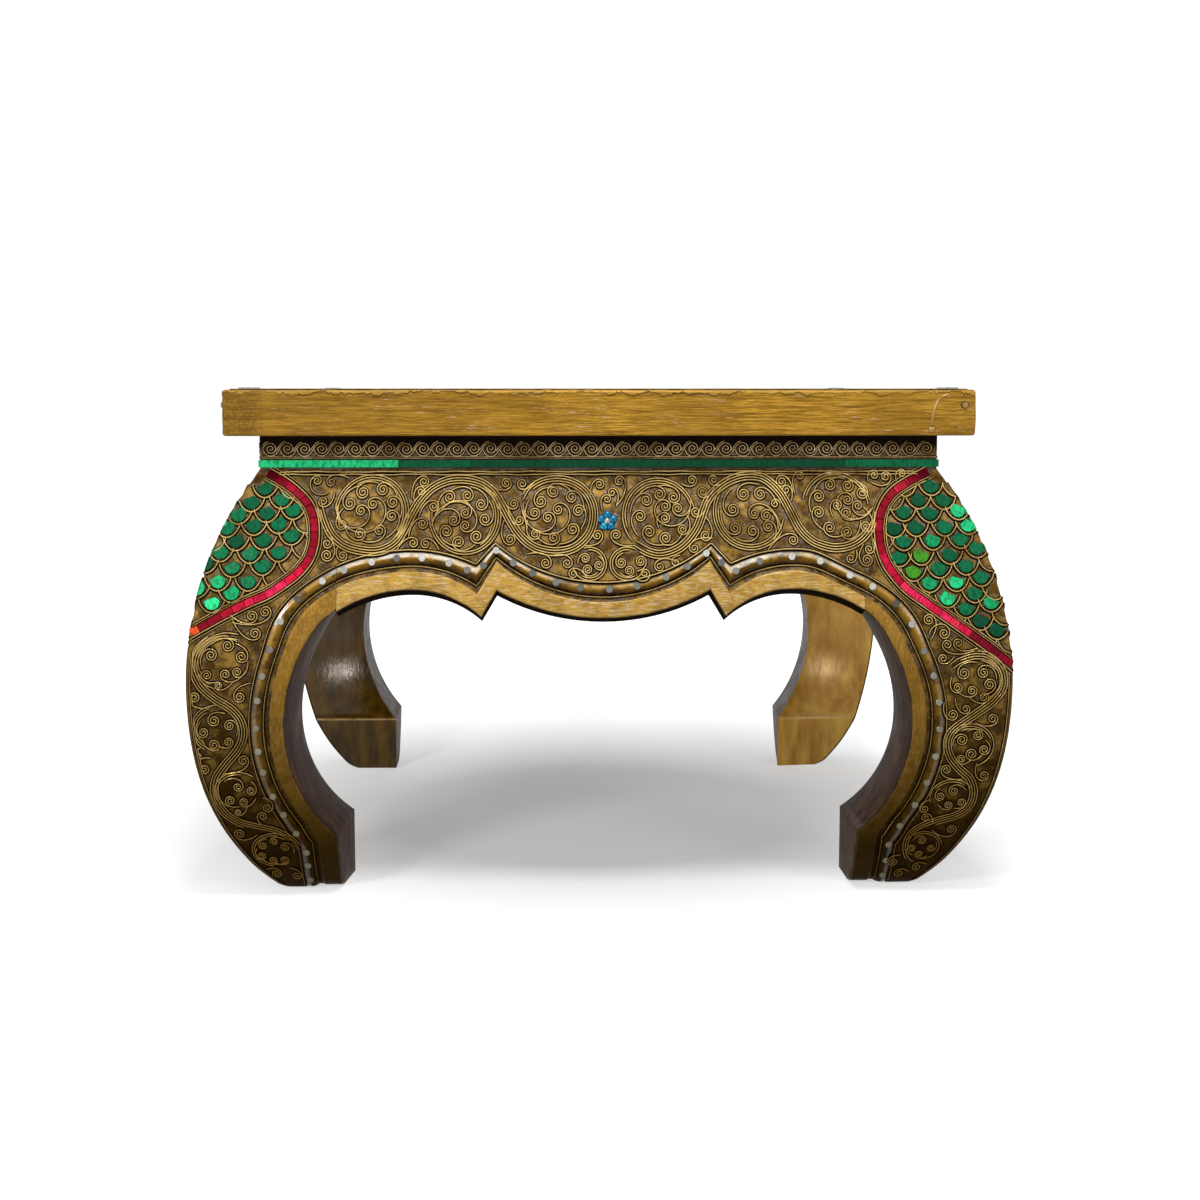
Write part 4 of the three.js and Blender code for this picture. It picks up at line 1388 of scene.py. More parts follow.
@dataclass(frozen=True)
class BrushedGilt:
    """Gold paint brushed along a board, with dark grain, pale flecks and a thick lip under the top edge."""

    name: str
    grain: Stretch
    fade: int | None = None
    light: Tint = linear(204, 156, 56)
    main: Tint = linear(148, 106, 26)
    dark: Tint = linear(92, 60, 10)
    hairline: Tint = linear(84, 54, 10)
    cloud: Tint = linear(116, 80, 20)
    fleck: Tint = linear(226, 212, 178)
    end_stain: Tint = linear(74, 52, 14)
    # Painted shade towards one end of the board
    shaded_end: Tint = linear(96, 68, 18)
    # Painted highlight on the lip
    lip: Tint = linear(196, 152, 66)
    lip_shadow: Tint = linear(44, 26, 6)
    rim: Tint = linear(92, 66, 30)
    top: float = .413
    clouds: Spots = Spots(12, 4, .44, .66, most=.5)
    blotches: Spots = Spots(420, 6, .42, .56, .3, rough=.75)
    flecks: Spots = Spots(900, 5, .6, .64, rough=.7)
    lip_run: Spots = Spots(75, 4, .38, .64, .0008, .0048, .7)

    def make(self) -> Material:
        """Makes the material with its grain drawn out along the axis that has the low number.

        Returns:
            The material.
        """
        n = Nodes(self.name, .2, .4)
        fine, broad = n.noise(1500, 6, self.grain, .75), n.noise(520, 6, self.grain, .7)
        gold = n.mix(n.span(fine, .44, .56), self.main, self.light)
        gold = n.mix(n.span(broad, .5, .58, 0, .6), gold, self.dark)
        gold = n.mix(n.spots(Spots(1150, 6, .54, .6, most=.7, rough=.75), self.grain), gold, self.hairline)
        gold = n.mix(n.spots(self.clouds), gold, self.cloud)
        short = tuple(min(1.0, share * 2.6) for share in self.grain)
        flecks = n.times(n.spots(self.flecks, short), n.spots(Spots(24, 4, .47, .6)), .45)
        gold = n.mix(flecks, gold, self.fleck)
        if self.fade is not None:
            outer = n.span(n.sum("ABSOLUTE", n.axis(self.fade), 0), .262, .274)
            gold = n.mix(n.times(outer, n.spots(self.blotches), .7), gold, self.end_stain)
        along_grain = n.axis(self.grain.index(min(self.grain)))
        # Painted shade, darker towards the end on the low side of the grain axis
        gold = n.mix(n.span(along_grain, -.3, -.08, .4, 0), gold, self.shaded_end)
        drop = n.sum("SUBTRACT", self.top, n.spots(self.lip_run, (1, 1, 0)))
        over = n.rise(n.sum("SUBTRACT", drop, .0004), n.sum("ADD", drop, .0003))
        line = n.rise(n.sum("SUBTRACT", drop, .0014), n.sum("SUBTRACT", drop, .0004))
        patchy = n.spots(Spots(26, 3, .42, .56, .2, .95))
        # Painted highlight on the lip and painted shadow under it
        gold = n.mix(n.times(over, .35), gold, self.lip)
        gold = n.mix(n.times(n.sum("SUBTRACT", line, over), patchy), gold, self.lip_shadow)
        n.set("Base Color", n.mix(n.rise(self.top - .001, self.top - .0002, 0, .6), gold, self.rim))
        n.set("Roughness", n.span(broad, .3, .7, .3, .48))
        n.set("Specular IOR Level", .3)
        n.set("Specular Tint", linear(255, 224, 160))
        grain = n.bump(n.noise(220, 4, self.grain), .0007, .5, n.bump(fine, .0003, .6))
        n.set("Normal", n.bump(over, .0009, .7, grain))
        return n.material


@dataclass(frozen=True)
class NeckGround:
    """Dusty gold on the frieze, with painted shade that runs into near black under the top."""

    gold: Tint = linear(100, 76, 36)
    dust: Tint = linear(128, 120, 112)
    # Painted shade under the top and in the nooks
    dark: Tint = linear(18, 10, 6)

    def make(self) -> Material:
        """Makes the material.

        Returns:
            The material.
        """
        n = Nodes("dark gilt neck", .25, .48)
        tint = n.mix(n.spots(Spots(60, 5, .4, .64)), self.gold, self.dust)
        # Painted shade: near black under the top, and in the nooks
        tint = n.mix(n.rise(.361, .369), tint, self.dark)
        n.set("Base Color", n.mix(n.span(n.nook(.004), .4, .97, .9, 0), tint, self.dark))
        n.set("Roughness", n.spots(Spots(90, 3, .35, .7, .4, .58)))
        n.set("IOR", 1.12)
        n.set("Normal", n.bump(n.noise(300, 4), .0004, .5))
        return n.material


@dataclass(frozen=True)
class PlainCoat:
    """A worn coat of paint or stain over wood, with a pale line at a height that is a painted highlight."""

    name: str
    main: Tint
    other: Tint
    metal: float
    rough: float
    grain: Stretch = (1, 1, .25)
    gloss: float = .45
    highlight_line_at: float = 0.0
    # Painted highlight along a ledge at that height
    worn: Tint = linear(226, 190, 120)

    def make(self) -> Material:
        """Makes the material with its grain drawn out along the axis that has the low number.

        Returns:
            The material.
        """
        n = Nodes(self.name, self.metal, self.rough)
        tint = n.mix(n.spots(Spots(90, 5, .35, .68), self.grain), self.main, self.other)
        tint = n.mix(n.spots(Spots(14, 4, .4, .66, most=.5)), tint, self.other)
        # Painted highlight: a pale line at one height, along the ledge of the foot
        if self.highlight_line_at:
            line = n.times(n.rise(self.highlight_line_at - .0012, self.highlight_line_at - .0002),
                           n.rise(self.highlight_line_at + .0016, self.highlight_line_at + .0002))
            tint = n.mix(n.times(line, n.spots(Spots(60, 4, .4, .55, .3, .8))), tint, self.worn)
        n.set("Base Color", tint)
        n.set("Roughness", n.spots(Spots(60, 3, .3, .7, self.rough - .06, self.rough + .1)))
        n.set("Normal", n.bump(n.noise(260, 4, self.grain), .0005, .45))
        n.set("IOR", 1 + self.gloss)
        return n.material


class Finishes:
    """All finishes of the table, each made once."""

    def __init__(self) -> None:
        """Makes the materials."""
        self.carving = GiltCarving().make()
        # The legs' carving, with its own painted shade under the rounded band and painted light on its upper
        # side
        self.leg_carving = GiltCarving(
            "gilt leg carving", (1, 1, .12), wear=.3, under=linear(120, 88, 22), band=linear(146, 108, 30),
            upper=linear(176, 134, 54), border=linear(158, 116, 40), rub=linear(206, 176, 116)).make()
        self.thread = GiltThread().make()
        # The neck's threads end where their painted shade would start
        # Their brighter side and crest are painted light under the shadow of the top
        self.neck_thread = GiltThread("gilt neck thread", metal=.3655, dark_from=.3715, dark_to=.9,
                                      side=linear(140, 104, 44), crest=linear(255, 236, 190)).make()
        greens = ((5, 92, 56), (10, 110, 68), (2, 74, 46), (72, 152, 34), (40, 206, 130), (22, 160, 98))
        reds = ((138, 0, 28), (168, 6, 38), (94, 0, 20), (212, 14, 58), (244, 40, 92), (250, 92, 40))
        blues = ((14, 102, 138), (36, 140, 170), (8, 82, 122), (196, 184, 146))
        self.green = Mirror("green mirror", tuple(linear(*tint) for tint in greens), linear(0, 52, 30)).make()
        self.red = Mirror("red mirror", tuple(linear(*tint) for tint in reds), linear(78, 0, 16)).make()
        self.blue = Mirror("blue mirror", tuple(linear(*tint) for tint in blues), linear(6, 66, 98)).make()
        self.silver = SilverDot().make()
        grains = (("x", (.032, 1, 1)), ("y", (1, .032, 1)))
        self.boards = [BrushedGilt(f"gilt board along {axis}", grain).make() for axis, grain in grains]
        self.ends = [BrushedGilt(f"gilt end along {axis}", grain, number).make()
                     for number, (axis, grain) in enumerate(grains)]
        self.neck = NeckGround().make()
        self.soffit = PlainCoat("shadowed sawn edge", linear(16, 11, 7), linear(28, 20, 12), 0, .8,
                                gloss=.04).make()
        self.wash = PlainCoat("matte wash", linear(88, 64, 48), linear(40, 28, 20), 0, .45, gloss=.14).make()
        self.lacquer = PlainCoat("dark lacquer", linear(112, 82, 18), linear(58, 38, 5), .05, .17,
                                 gloss=.34, highlight_line_at=.054).make()
        # A brighter copy of the dark lacquer: painted light on the back right leg's inner face
        self.painted_lit = PlainCoat("amber lacquer", linear(255, 204, 92), linear(196, 132, 36), .05, .2,
                               gloss=.34, highlight_line_at=.054).make()
        self.wood = PlainCoat("stained wood", linear(86, 58, 34), linear(54, 34, 20), 0, .6,
                              (.1, 1, 1)).make()
        self.nail = PlainCoat("gilt nail", linear(204, 160, 74), linear(140, 100, 40), .2, .3).make()


# The table

@dataclass
class SideWork:
    """What stands on one side of the table; its ornament is mirrored on every second side."""

    side: int
    finishes: Finishes

    @property
    def flip(self) -> int:
        """-1 on the sides whose ornament runs the other way."""
        return -1 if self.side % 2 else 1

    @property
    def name(self) -> str:
        """Name of the side."""
        return SIDES[self.side]


@dataclass
class Apron(SideWork):
    """One apron: the carved board, its threads, its silver dots and its flower.

    Each digit of `dot_tones` says how tarnished a dot is.
    """

    back_top: float = 252.0
    back_lean: float = .4098
    soffit_rise: float = -.31
    field_rows: int = 22
    flower_at: Point = (5, 308.5)
    flower_size: float = 1.15
    dots: tuple[float, ...] = (
        -203.9, -182, -162.3, -142.3, -121, -106.4, -93.7, -83.6, -70.1, -55, -36.2, -16.8, 6.1, 28.1, 51.2,
        68.4, 83.6, 95.5, 106.9, 126.2, 152, 174.6, 197.9)
    dot_tones: str = "40802781787877670867000"

    def face(self, base: float = 0.0) -> Face:
        """The carved face, with a base height over the ground."""
        return carved(self.side, self.flip, base)

    def line(self, past: float, step: float) -> np.ndarray:
        """Line across the whole apron at a constant distance past the border."""
        x = np.append(np.arange(-HIP, HIP, .5), HIP)
        return evenly(np.stack([x, OPENING.height_at(x, OPENING.border_on_apron(x) + past)], axis=1), step)

    def board(self) -> None:
        """Makes the closed board with its moulded edge, leaning back and sloping underside."""
        near_cusps = [s * middle + np.arange(-7, 7.1, .4) for s in (-1, 1) for middle in (85.5, 100)]
        x = np.concatenate([np.arange(-HIP, HIP + .1, 1.5), [.4 - HIP, HIP - .4], *near_cusps])
        x = np.unique(np.round(x, 3))
        border = OPENING.border_on_apron(x)
        rows = [OPENING.height_at(x, distance) for distance in MOULDING.distances(border)]
        last = rows[-1]
        rows += [last + (BOARD_TOP - last) * s for s in np.linspace(0, 1, self.field_rows + 1)[1:]]
        z = np.stack(rows, axis=1)
        wide = np.repeat(x[:, None], z.shape[1], axis=1)
        lift, zone = MOULDING.at(OPENING.inset(wide, z), border[:, None])
        front = BOW.level(wide.ravel(), z.ravel(), lift.ravel()).reshape(*z.shape, 3)
        low = front[:, :1]
        depth = -low[..., 1] - self.back_top - self.back_lean * (BOARD_TOP - low[..., 2])
        depth = depth / (1 - self.soffit_rise * self.back_lean)
        under = low + np.stack([0 * depth, depth, self.soffit_rise * depth], axis=-1)
        over = np.stack([x, np.full_like(x, -self.back_top), np.full_like(x, BOARD_TOP)], axis=-1)[:, None]
        loop = np.concatenate([front, over, under], axis=1)
        loop[..., 0] *= self.flip
        zones = np.concatenate([zone, np.full((len(x), 2), .3)], axis=1)
        # The ends meet the legs in a dark line
        zones[[0, -1]] *= zones[[0, -1]] < .5
        count = loop.shape[1]
        faces = tube_faces(len(x), count)
        plain = [1 if i % count >= count - 3 else 0 for i in range(len(faces) - 2)]
        shape = Shape()
        shape.add(turned(loop.reshape(-1, 3), self.side), faces, plain + [1, 1], zone=zones.ravel())
        shape.piece(f"apron_board_{self.name}", [self.finishes.carving, self.finishes.soffit],
                    [f"apron_{self.name}"])

    def threads(self) -> None:
        """Makes all raised threads of the apron."""
        shape = Shape()
        for stroke in (*APRON_ORNAMENT.strokes(), self.line(MOULDING.thread_line, 2.0)):
            Thread().lay_on(shape, stroke, self.face())
        closing_lines(shape, self.face(), np.arange(-HIP, HIP + .1, 4))
        groove = self.face(MOULDING.bead_depth)
        Thread(1.8, 1.9, .3, BURIED).lay_on(shape, self.line(MOULDING.bead_at, .8), groove)
        shape.piece(f"apron_threads_{self.name}", [self.finishes.thread])

    def silver(self) -> None:
        """Makes the row of round mirrors along the rounded band."""
        shape = Shape()
        x = np.array(self.dots)
        z = OPENING.height_at(x, OPENING.border_on_apron(x) + MOULDING.dots_at)
        for at_x, at_z, tone in zip(x, z, self.dot_tones):
            silver_dot(shape, at_x, at_z, self.face(), int(tone) / 9)
        shape.piece(f"apron_dots_{self.name}", [self.finishes.silver], crease=TILE_CREASE)

    def flower(self) -> None:
        """Makes the flower of five petals in the middle of the apron."""
        shape = Shape()
        mirror_flower(shape, *self.flower_at, self.face(), self.flower_size)
        shape.piece(f"apron_petals_{self.name}", [self.finishes.blue, self.finishes.carving],
                    [f"apron_flower_{self.name}"])

    def build(self) -> None:
        """Builds all pieces of the apron."""
        for make in (self.board, self.threads, self.silver, self.flower):
            make()


@dataclass
class Leg:
    """One claw leg: the carved block, its threads, its silver dots, the red band and the green scales.

    Each digit of `dot_tones` says how tarnished a dot is. From the middle of a scale, `cup_line` is the cord
    under it, `net` holds its neighbours in the net of cords, and `scale_end` is the lower end of its tile.
    A cord of `band_cords` is (distance to the left of the band's middle, step, thread).
    """

    corner: int
    finishes: Finishes
    arris: float = 2.0
    field_columns: int = 20
    band_half: float = 2.75
    band_cords: tuple[tuple[float, float, Thread], ...] = (
        (3.9, .8, Thread(1.3, 1.2, .3)), (-3.9, 1.6, Thread(1.5, 1.3)), (-6.1, .8, Thread(1.2, 1.0, .3)),
        (5.6, 2.0, Thread(1.3, 1.0)))
    tile_lengths: Point = (7.5, 11.5)
    shortest_tile: float = 5.0
    tile_gap: float = .45
    rim_inset: float = 4.6
    arris_room: float = 6.0
    panel_top: float = 336.0
    cup_room: float = 9.5
    dot_tones: str = "193766757677677"
    cup_line: tuple[Point, ...] = (
        (-10.2, 2.6), (-9.2, -.4), (-7.2, -3.6), (-4, -6.4), (0, -7.6), (4, -6.4), (7.2, -3.6), (9.2, -.4),
        (10.2, 2.6))
    net: tuple[Point, ...] = (
        (-21.5, -.6), (21.5, -.6), (-10.6, 10.2), (10.6, 10.2), (-10.6, -10.4), (10.6, -10.4))
    scale_end: tuple[Point, ...] = ((-5, -2.8), (-2.9, -4.7), (0, -5.4), (2.9, -4.7), (5, -2.8), (6.3, 1.3))

    @property
    def kind(self) -> LegKind:
        """How the red band crosses this leg."""
        return LegKind.LOW if self.corner % 2 else LegKind.STEEP

    @property
    def pattern(self) -> LegPattern:
        """Pattern of this leg."""
        return LEG_PATTERNS[self.kind]

    @property
    def name(self) -> str:
        """Name of the corner."""
        return CORNERS[self.corner]

    def faces(self, base: float = 0.0) -> list[Face]:
        """The two carved faces, the second one mirrored, with a base height over the ground."""
        return [carved(self.corner, 1, base), carved((self.corner + 1) % 4, -1, base)]

    def set_back(self, z: np.ndarray) -> np.ndarray:
        """How far the front edge of the inner side stands back from its rear edge at each height."""
        return self.pattern.set_back * (1 - eased(z, 205, 262))

    def edge(self, z: np.ndarray, inset: np.ndarray) -> np.ndarray:
        """Sideways place at which the distance from the front edge reaches `inset`."""
        return OPENING.edge_on_leg(z, inset + self.set_back(z))

    def line(self, past: float, step: float) -> np.ndarray:
        """Line down the leg at a distance past the border, from the apron's end to the foot.

        Args:
            past: Distance past the border.
            step: Distance between its points.

        Returns:
            Points of the line.
        """
        z = np.arange(1.0, 300, .5)
        x = self.edge(z, OPENING.border_on_leg(z, self.kind) + past)
        keep = x > HIP + .01
        return evenly(np.stack([x[keep], z[keep]], axis=1)[::-1], step)

    def block(self) -> None:
        """Makes the closed block: both carved faces, the rounded arris and the two plain inner faces."""
        z = np.concatenate([[0, .8, 2, 3.6, 5.6, 8], np.arange(10, BOARD_TOP - 1, 2.0), [BOARD_TOP]])
        border = OPENING.border_on_leg(z, self.kind)
        columns = [self.edge(z, distance) for distance in MOULDING.distances(border)]
        centre = BOW.out(z) - GROUND_DEPTH - self.arris
        last = columns[-1]
        columns += [last + (centre - last) * s for s in np.linspace(0, 1, self.field_columns + 1)[1:]]
        x = np.stack(columns, axis=1)
        tall = np.repeat(z[:, None], x.shape[1], axis=1)
        lift, zone = MOULDING.at(OPENING.inset_on_leg(x, tall) - self.set_back(tall),
                                 OPENING.border_on_leg(tall, self.kind))
        front = BOW.level(x.ravel(), tall.ravel(), lift.ravel()).reshape(*x.shape, 3)
        angle = np.radians([22.5, 45, 67.5])
        turn = np.stack([centre[:, None] + self.arris * np.sin(angle),
                         -(centre[:, None] + self.arris * np.cos(angle)), tall[:, :3]], axis=-1)
        right = np.stack([-front[..., 1], -front[..., 0], front[..., 2]], axis=-1)[:, ::-1]
        rear = OPENING.edge_on_leg(z, 0.0)
        loop = np.concatenate([front, turn, right, np.stack([rear, -rear, z], axis=-1)[:, None]], axis=1)
        zones = [zone, np.full((len(z), 3), .45), zone[:, ::-1], np.full((len(z), 1), .3)]
        count = loop.shape[1]
        faces = tube_faces(len(z), count)
        lacquered = 1 if self.corner % 2 else 2
        inner = {count - 1: 3 - lacquered, count - 2: lacquered}
        plain = [inner.get(i % count, 0) for i in range(len(faces) - 2)]
        shape = Shape()
        shape.add(turned(loop.reshape(-1, 3), self.corner), faces, plain + [3, 3],
                  zone=np.concatenate(zones, axis=1).ravel())
        # The back right leg's inner face takes the lacquer painted as lit
        lacquer = self.finishes.painted_lit if self.corner == 1 else self.finishes.lacquer
        shape.piece(f"leg_block_{self.name}",
                    [self.finishes.leg_carving, self.finishes.wash, lacquer, self.finishes.wood],
                    [f"leg_{self.name}"], merge=2e-6)

    def threads(self) -> None:
        """Makes the raised threads of both faces and the beaded line down the arris."""
        shape = Shape()
        for face, groove in zip(self.faces(), self.faces(MOULDING.bead_depth)):
            for stroke in self.pattern.ornament.strokes():
                z = np.maximum(stroke[:, 1], 2.5)
                x = np.minimum(stroke[:, 0], BOW.out(z) - self.arris_room)
                Thread().lay_on(shape, np.stack([x, z], axis=1), face)
            Thread(1.5, 1.2, .4).lay_on(shape, self.line(MOULDING.thread_line, .95), face)
            z = np.arange(346, 3, -.5)
            z = z[z < self.pattern.rim_top]
            rim = evenly(np.stack([BOW.out(z) - self.rim_inset, z], axis=1), .8)
            Thread(1.4, 1.2, .35).lay_on(shape, rim, face)
            Thread(1.8, 1.9, .4, BURIED).lay_on(shape, self.line(MOULDING.bead_at, .9), groove)
            closing_lines(shape, face, np.arange(HIP, 262, 4.0))
        shape.piece(f"leg_threads_{self.name}", [self.finishes.thread])

    def band(self) -> None:
        """Makes the row of red tiles between two threads, over both faces."""
        shape = Shape()
        rng = random.Random(5 + self.corner)
        middle = evenly(smooth_path(self.pattern.band, 1.0), .5)
        middle = middle[middle[:, 0] < BOW.out(middle[:, 1]) - 2.2]
        whole = along(middle)[-1]
        reds = self.pattern.reds
        for face in self.faces():
            at = .3
            while at < whole - 3:
                size = rng.uniform(*self.tile_lengths)
                end = at + size if whole - at - size > self.shortest_tile else whole
                line = points_at(middle, np.linspace(at, end - self.tile_gap, 5))
                aside = self.band_half * sideways(line)
                tone = int(reds[min(len(reds) - 1, int(len(reds) * (at + end) / 2 / whole))])
                tile(shape, np.vstack([line - aside, (line + aside)[::-1]]), face, -.4, 1.45,
                     (tone + rng.uniform(.25, .75)) / 6, (rng.uniform(-.012, .012), rng.uniform(-.02, .02)))
                at = end
        shape.piece(f"red_tiles_{self.name}", [self.finishes.red], [f"red_band_{self.name}"],
                    TILE_CREASE)

    def band_threads(self) -> None:
        """Makes the threads on both sides of the red band and round the scales."""
        shape = Shape()
        middle = smooth_path(self.pattern.band, 2.0)
        for face in self.faces():
            for aside, step, thread in self.band_cords:
                line = evenly(middle + aside * sideways(middle), step)
                thread.lay_on(shape, line[line[:, 0] < BOW.out(line[:, 1]) - 2.0], face)
            for place in (*self.pattern.scales, *self.spare_cups()):
                self.cup(shape, place, face)
        shape.piece(f"scale_threads_{self.name}", [self.finishes.thread])

    def cup(self, shape: Shape, place: Point, face: Face) -> None:
        """Adds the cord that cups one scale, where it lies inside the panel.

        Args:
            shape: Shape that takes the cord.
            place: Middle of the scale.
            face: Surface that carries it.
        """
        cup = smooth_path(np.array(self.cup_line) + place, 1.1)
        clear_of_band = beside(smooth_path(self.pattern.band, 2.0), cup) > 4.6
        inside = (cup[:, 0] < BOW.out(cup[:, 1]) - 2.0) & clear_of_band
        start = 0
        for end in range(1, len(cup) + 1):
            if end == len(cup) or inside[end] != inside[start]:
                if inside[start] and end - start > 3:
                    Thread(2.1, 1.8, .25).lay_on(shape, cup[start:end], face)
                start = end

    def spare_cups(self) -> list[Point]:
        """Places beside the scales where the net of cords runs on without a tile.

        Returns:
            The places.
        """
        scales = self.pattern.scales
        band = smooth_path(self.pattern.band, 2.0)
        out: list[Point] = []
        for near in ((x + right, z + up) for x, z in scales for right, up in self.net):
            on_panel = near[0] < BOW.out(near[1]) + 2 and near[1] < self.panel_top
            on_panel = on_panel and beside(band, np.array([near]))[0] > -4
            if on_panel and all(math.dist(near, other) > self.cup_room for other in (*scales, *out)):
                out.append(near)
        return out

    def scales(self) -> None:
        """Makes the green scale tiles of both faces."""
        shape = Shape()
        rng = random.Random(40 + self.corner)
        for face in self.faces():
            for tone, place in zip(self.pattern.greens, self.pattern.scales):
                crown = (rng.uniform(-3, -.5), rng.uniform(4.6, 5.6))
                outline = np.array((*self.scale_end, crown, (-6.2, rng.uniform(.8, 2.4))))
                turn = math.radians(rng.uniform(-9, 9))
                spin = np.array(((math.cos(turn), math.sin(turn)), (-math.sin(turn), math.cos(turn))))
                corners = (outline * (rng.uniform(.98, 1.08), rng.uniform(.96, 1.06))) @ spin + place
                corners[:, 0] = np.minimum(corners[:, 0], BOW.out(corners[:, 1]) - 1.8)
                tile(shape, corners, face, -.4, 1.6, (int(tone) + .5) / 6,
                     (rng.uniform(-.02, .02), rng.uniform(-.03, .03)))
        shape.piece(f"green_scales_{self.name}", [self.finishes.green],
                    [f"scale_panel_{self.name}"], TILE_CREASE)

    def silver(self) -> None:
        """Makes the row of round mirrors down both faces."""
        shape = Shape()
        z = np.array(self.pattern.dots)
        x = self.edge(z, OPENING.border_on_leg(z, self.kind) + MOULDING.dots_at)
        for face in self.faces():
            for tone, at_x, at_z in zip(self.dot_tones, x, z):
                silver_dot(shape, at_x, at_z, face, int(tone) / 9)
        shape.piece(f"leg_dots_{self.name}", [self.finishes.silver], crease=TILE_CREASE)

    def build(self) -> None:
        """Builds all pieces of the leg."""
        for make in (self.block, self.threads, self.band, self.band_threads, self.scales, self.silver):
            make()


def running_wave(x: float, z: float) -> list[np.ndarray]:
    """Threads of one unit of the running scroll.

    Args:
        x: Place of its coil to the right.
        z: Place of its coil upwards.

    Returns:
        A wave that cups the last coil, rises and curls over into its own, and the line under it.
    """
    t = np.linspace(0, 1, 34)
    coil = arc(x, z, 4.9 - 4.3 * t, math.radians(128) - 2 * math.pi * 1.85 * t)
    rise = ((-19.6, -.6), (-18.6, -3.2), (-16.4, -5.2), (-13.4, -5.9), (-10, -4.8), (-7.6, -2), (-5.6, 1.6))
    under = ((-9.2, -1.6), (-7, 1.8), (-4.4, 4.8), (-1.6, 6))
    return [np.vstack([smooth_path(np.array(rise) + (x, z), 1.4), coil]),
            smooth_path(np.array(under) + (x, z), 1.4)]


@dataclass
class Neck(SideWork):
    """The set back frieze under the top: green mirror strip, beaded lines and running scroll.

    The strip is cut at the places of `cuts`, and `tones` picks the tint of each length.
    """

    middle: float = 365.6
    strip_low: float = 350.8
    strip_high: float = 356.6
    cuts: tuple[float, ...] = (-274, -229, -163, -104, -52, 4, 68, 131, 199, 275.4)
    # The bright tints of the two lengths at one end are a painted reflection
    tones: tuple[int, ...] = (4, 4, 0, 2, 2, 2, 2, 2, 1)

    def face(self) -> Face:
        """The upright face of the neck."""
        return upright(NECK_HALF, self.side, self.flip)

    def scroll(self) -> None:
        """Makes the running scroll and the beaded lines below it."""
        shape = Shape()
        count = int(2 * NECK_HALF / WAVE_PITCH)
        for number in range(count):
            x = (number - (count - 1) / 2) * WAVE_PITCH
            for wave in running_wave(x, self.middle + .3 * math.sin(number * 2.1)):
                Thread(1.3, 1.15).lay_on(shape, wave[np.abs(wave[:, 0]) < NECK_HALF - 2], self.face())
        x = np.arange(1 - NECK_HALF, NECK_HALF - .9, 3)
        for z, width in ((359.2, 1.3), (358, 1.1)):
            line = np.stack([x, z + .15 * np.sin(x * .09)], axis=1)
            Thread(width, 1.2, .35).lay_on(shape, evenly(line, .85), self.face())
        shape.piece(f"neck_threads_{self.name}", [self.finishes.neck_thread])

    def strip(self) -> None:
        """Makes the green mirror strip from long pieces butted end to end."""
        shape = Shape()
        low, high = self.strip_low, self.strip_high
        for start, end, tone in zip(self.cuts, self.cuts[1:], self.tones):
            corners = ((start + .1, low), (end - .1, low), (end - .1, high), (start + .1, high))
            tile(shape, corners, self.face(), 0.0, 1.5, (tone + .5) / 6, (0, .004 * (tone - 1)))
        shape.piece(f"green_mirror_{self.name}", [self.finishes.green],
                    [f"green_strip_{self.name}"], TILE_CREASE)

    def build(self) -> None:
        """Builds the pieces of one side of the neck."""
        self.scroll()
        self.strip()


class Bench:
    """Modelling steps shared by the boards of the top, in metres."""

    @staticmethod
    def clear() -> None:
        """Leaves nothing selected."""
        if bpy.context.object and bpy.context.object.mode != "OBJECT":
            bpy.ops.object.mode_set(mode="OBJECT")
        bpy.ops.object.select_all(action="DESELECT")

    @staticmethod
    def block(name: str, low: Vector, high: Vector) -> bpy.types.Object:
        """Adds a block with its place in its mesh.

        Args:
            name: Name of the piece.
            low: Its lowest corner.
            high: Its highest corner.

        Returns:
            The block.
        """
        Bench.clear()
        bpy.ops.mesh.primitive_cube_add(size=1, location=(low + high) / 2, scale=high - low)
        block = bpy.context.object
        block.name = name
        block.data.name = name
        bpy.ops.object.transform_apply(location=True, rotation=True, scale=True)
        return block

    @staticmethod
    def pick(block: bpy.types.Object, wanted: Callable[[Vector, Vector], bool]) -> None:
        """Goes to edit mode with the wanted edges selected.

        Args:
            block: The board.
            wanted: Test of an edge's middle and its run from end to end.
        """
        bpy.ops.object.mode_set(mode="EDIT")
        bpy.ops.mesh.select_mode(type="EDGE")
        bpy.ops.mesh.select_all(action="DESELECT")
        for edge in bmesh.from_edit_mesh(block.data).edges:
            first, second = (vertex.co for vertex in edge.verts)
            edge.select = wanted((first + second) / 2, first - second)
        bmesh.update_edit_mesh(block.data)

    @staticmethod
    def cut_along(block: bpy.types.Object, axis: int, cuts: int) -> None:
        """Subdivides the long edges that run along an axis.

        Args:
            block: The board.
            axis: Number of the axis.
            cuts: Cuts in each edge.
        """
        Bench.pick(block, lambda _, run: abs(run[axis]) > .9 * run.length and run.length > .01)
        bpy.ops.mesh.subdivide(number_cuts=cuts, quadcorner="INNERVERT")
        bpy.ops.object.mode_set(mode="OBJECT")

    @staticmethod
    def ease(block: bpy.types.Object, width: float, segments: int,
             wanted: Callable[[Vector], bool] = lambda middle: True) -> None:
        """Bevels edges.

        Args:
            block: The board.
            width: Width of the bevel.
            segments: Its segments.
            wanted: Test of an edge's middle.
        """
        Bench.pick(block, lambda middle, _: wanted(middle))
        bpy.ops.mesh.bevel(offset=width, segments=segments, profile=.5, affect="EDGES")
        bpy.ops.object.mode_set(mode="OBJECT")

    @staticmethod
    def uneven(place: Vector, across: float, up: float = 0.0, seed: float = 0.0) -> float:
        """Smooth random height at a place in millimetres, from -1 to 1."""
        return noise.noise(Vector((place.x * across, place.y * across, place.z * up + seed)))


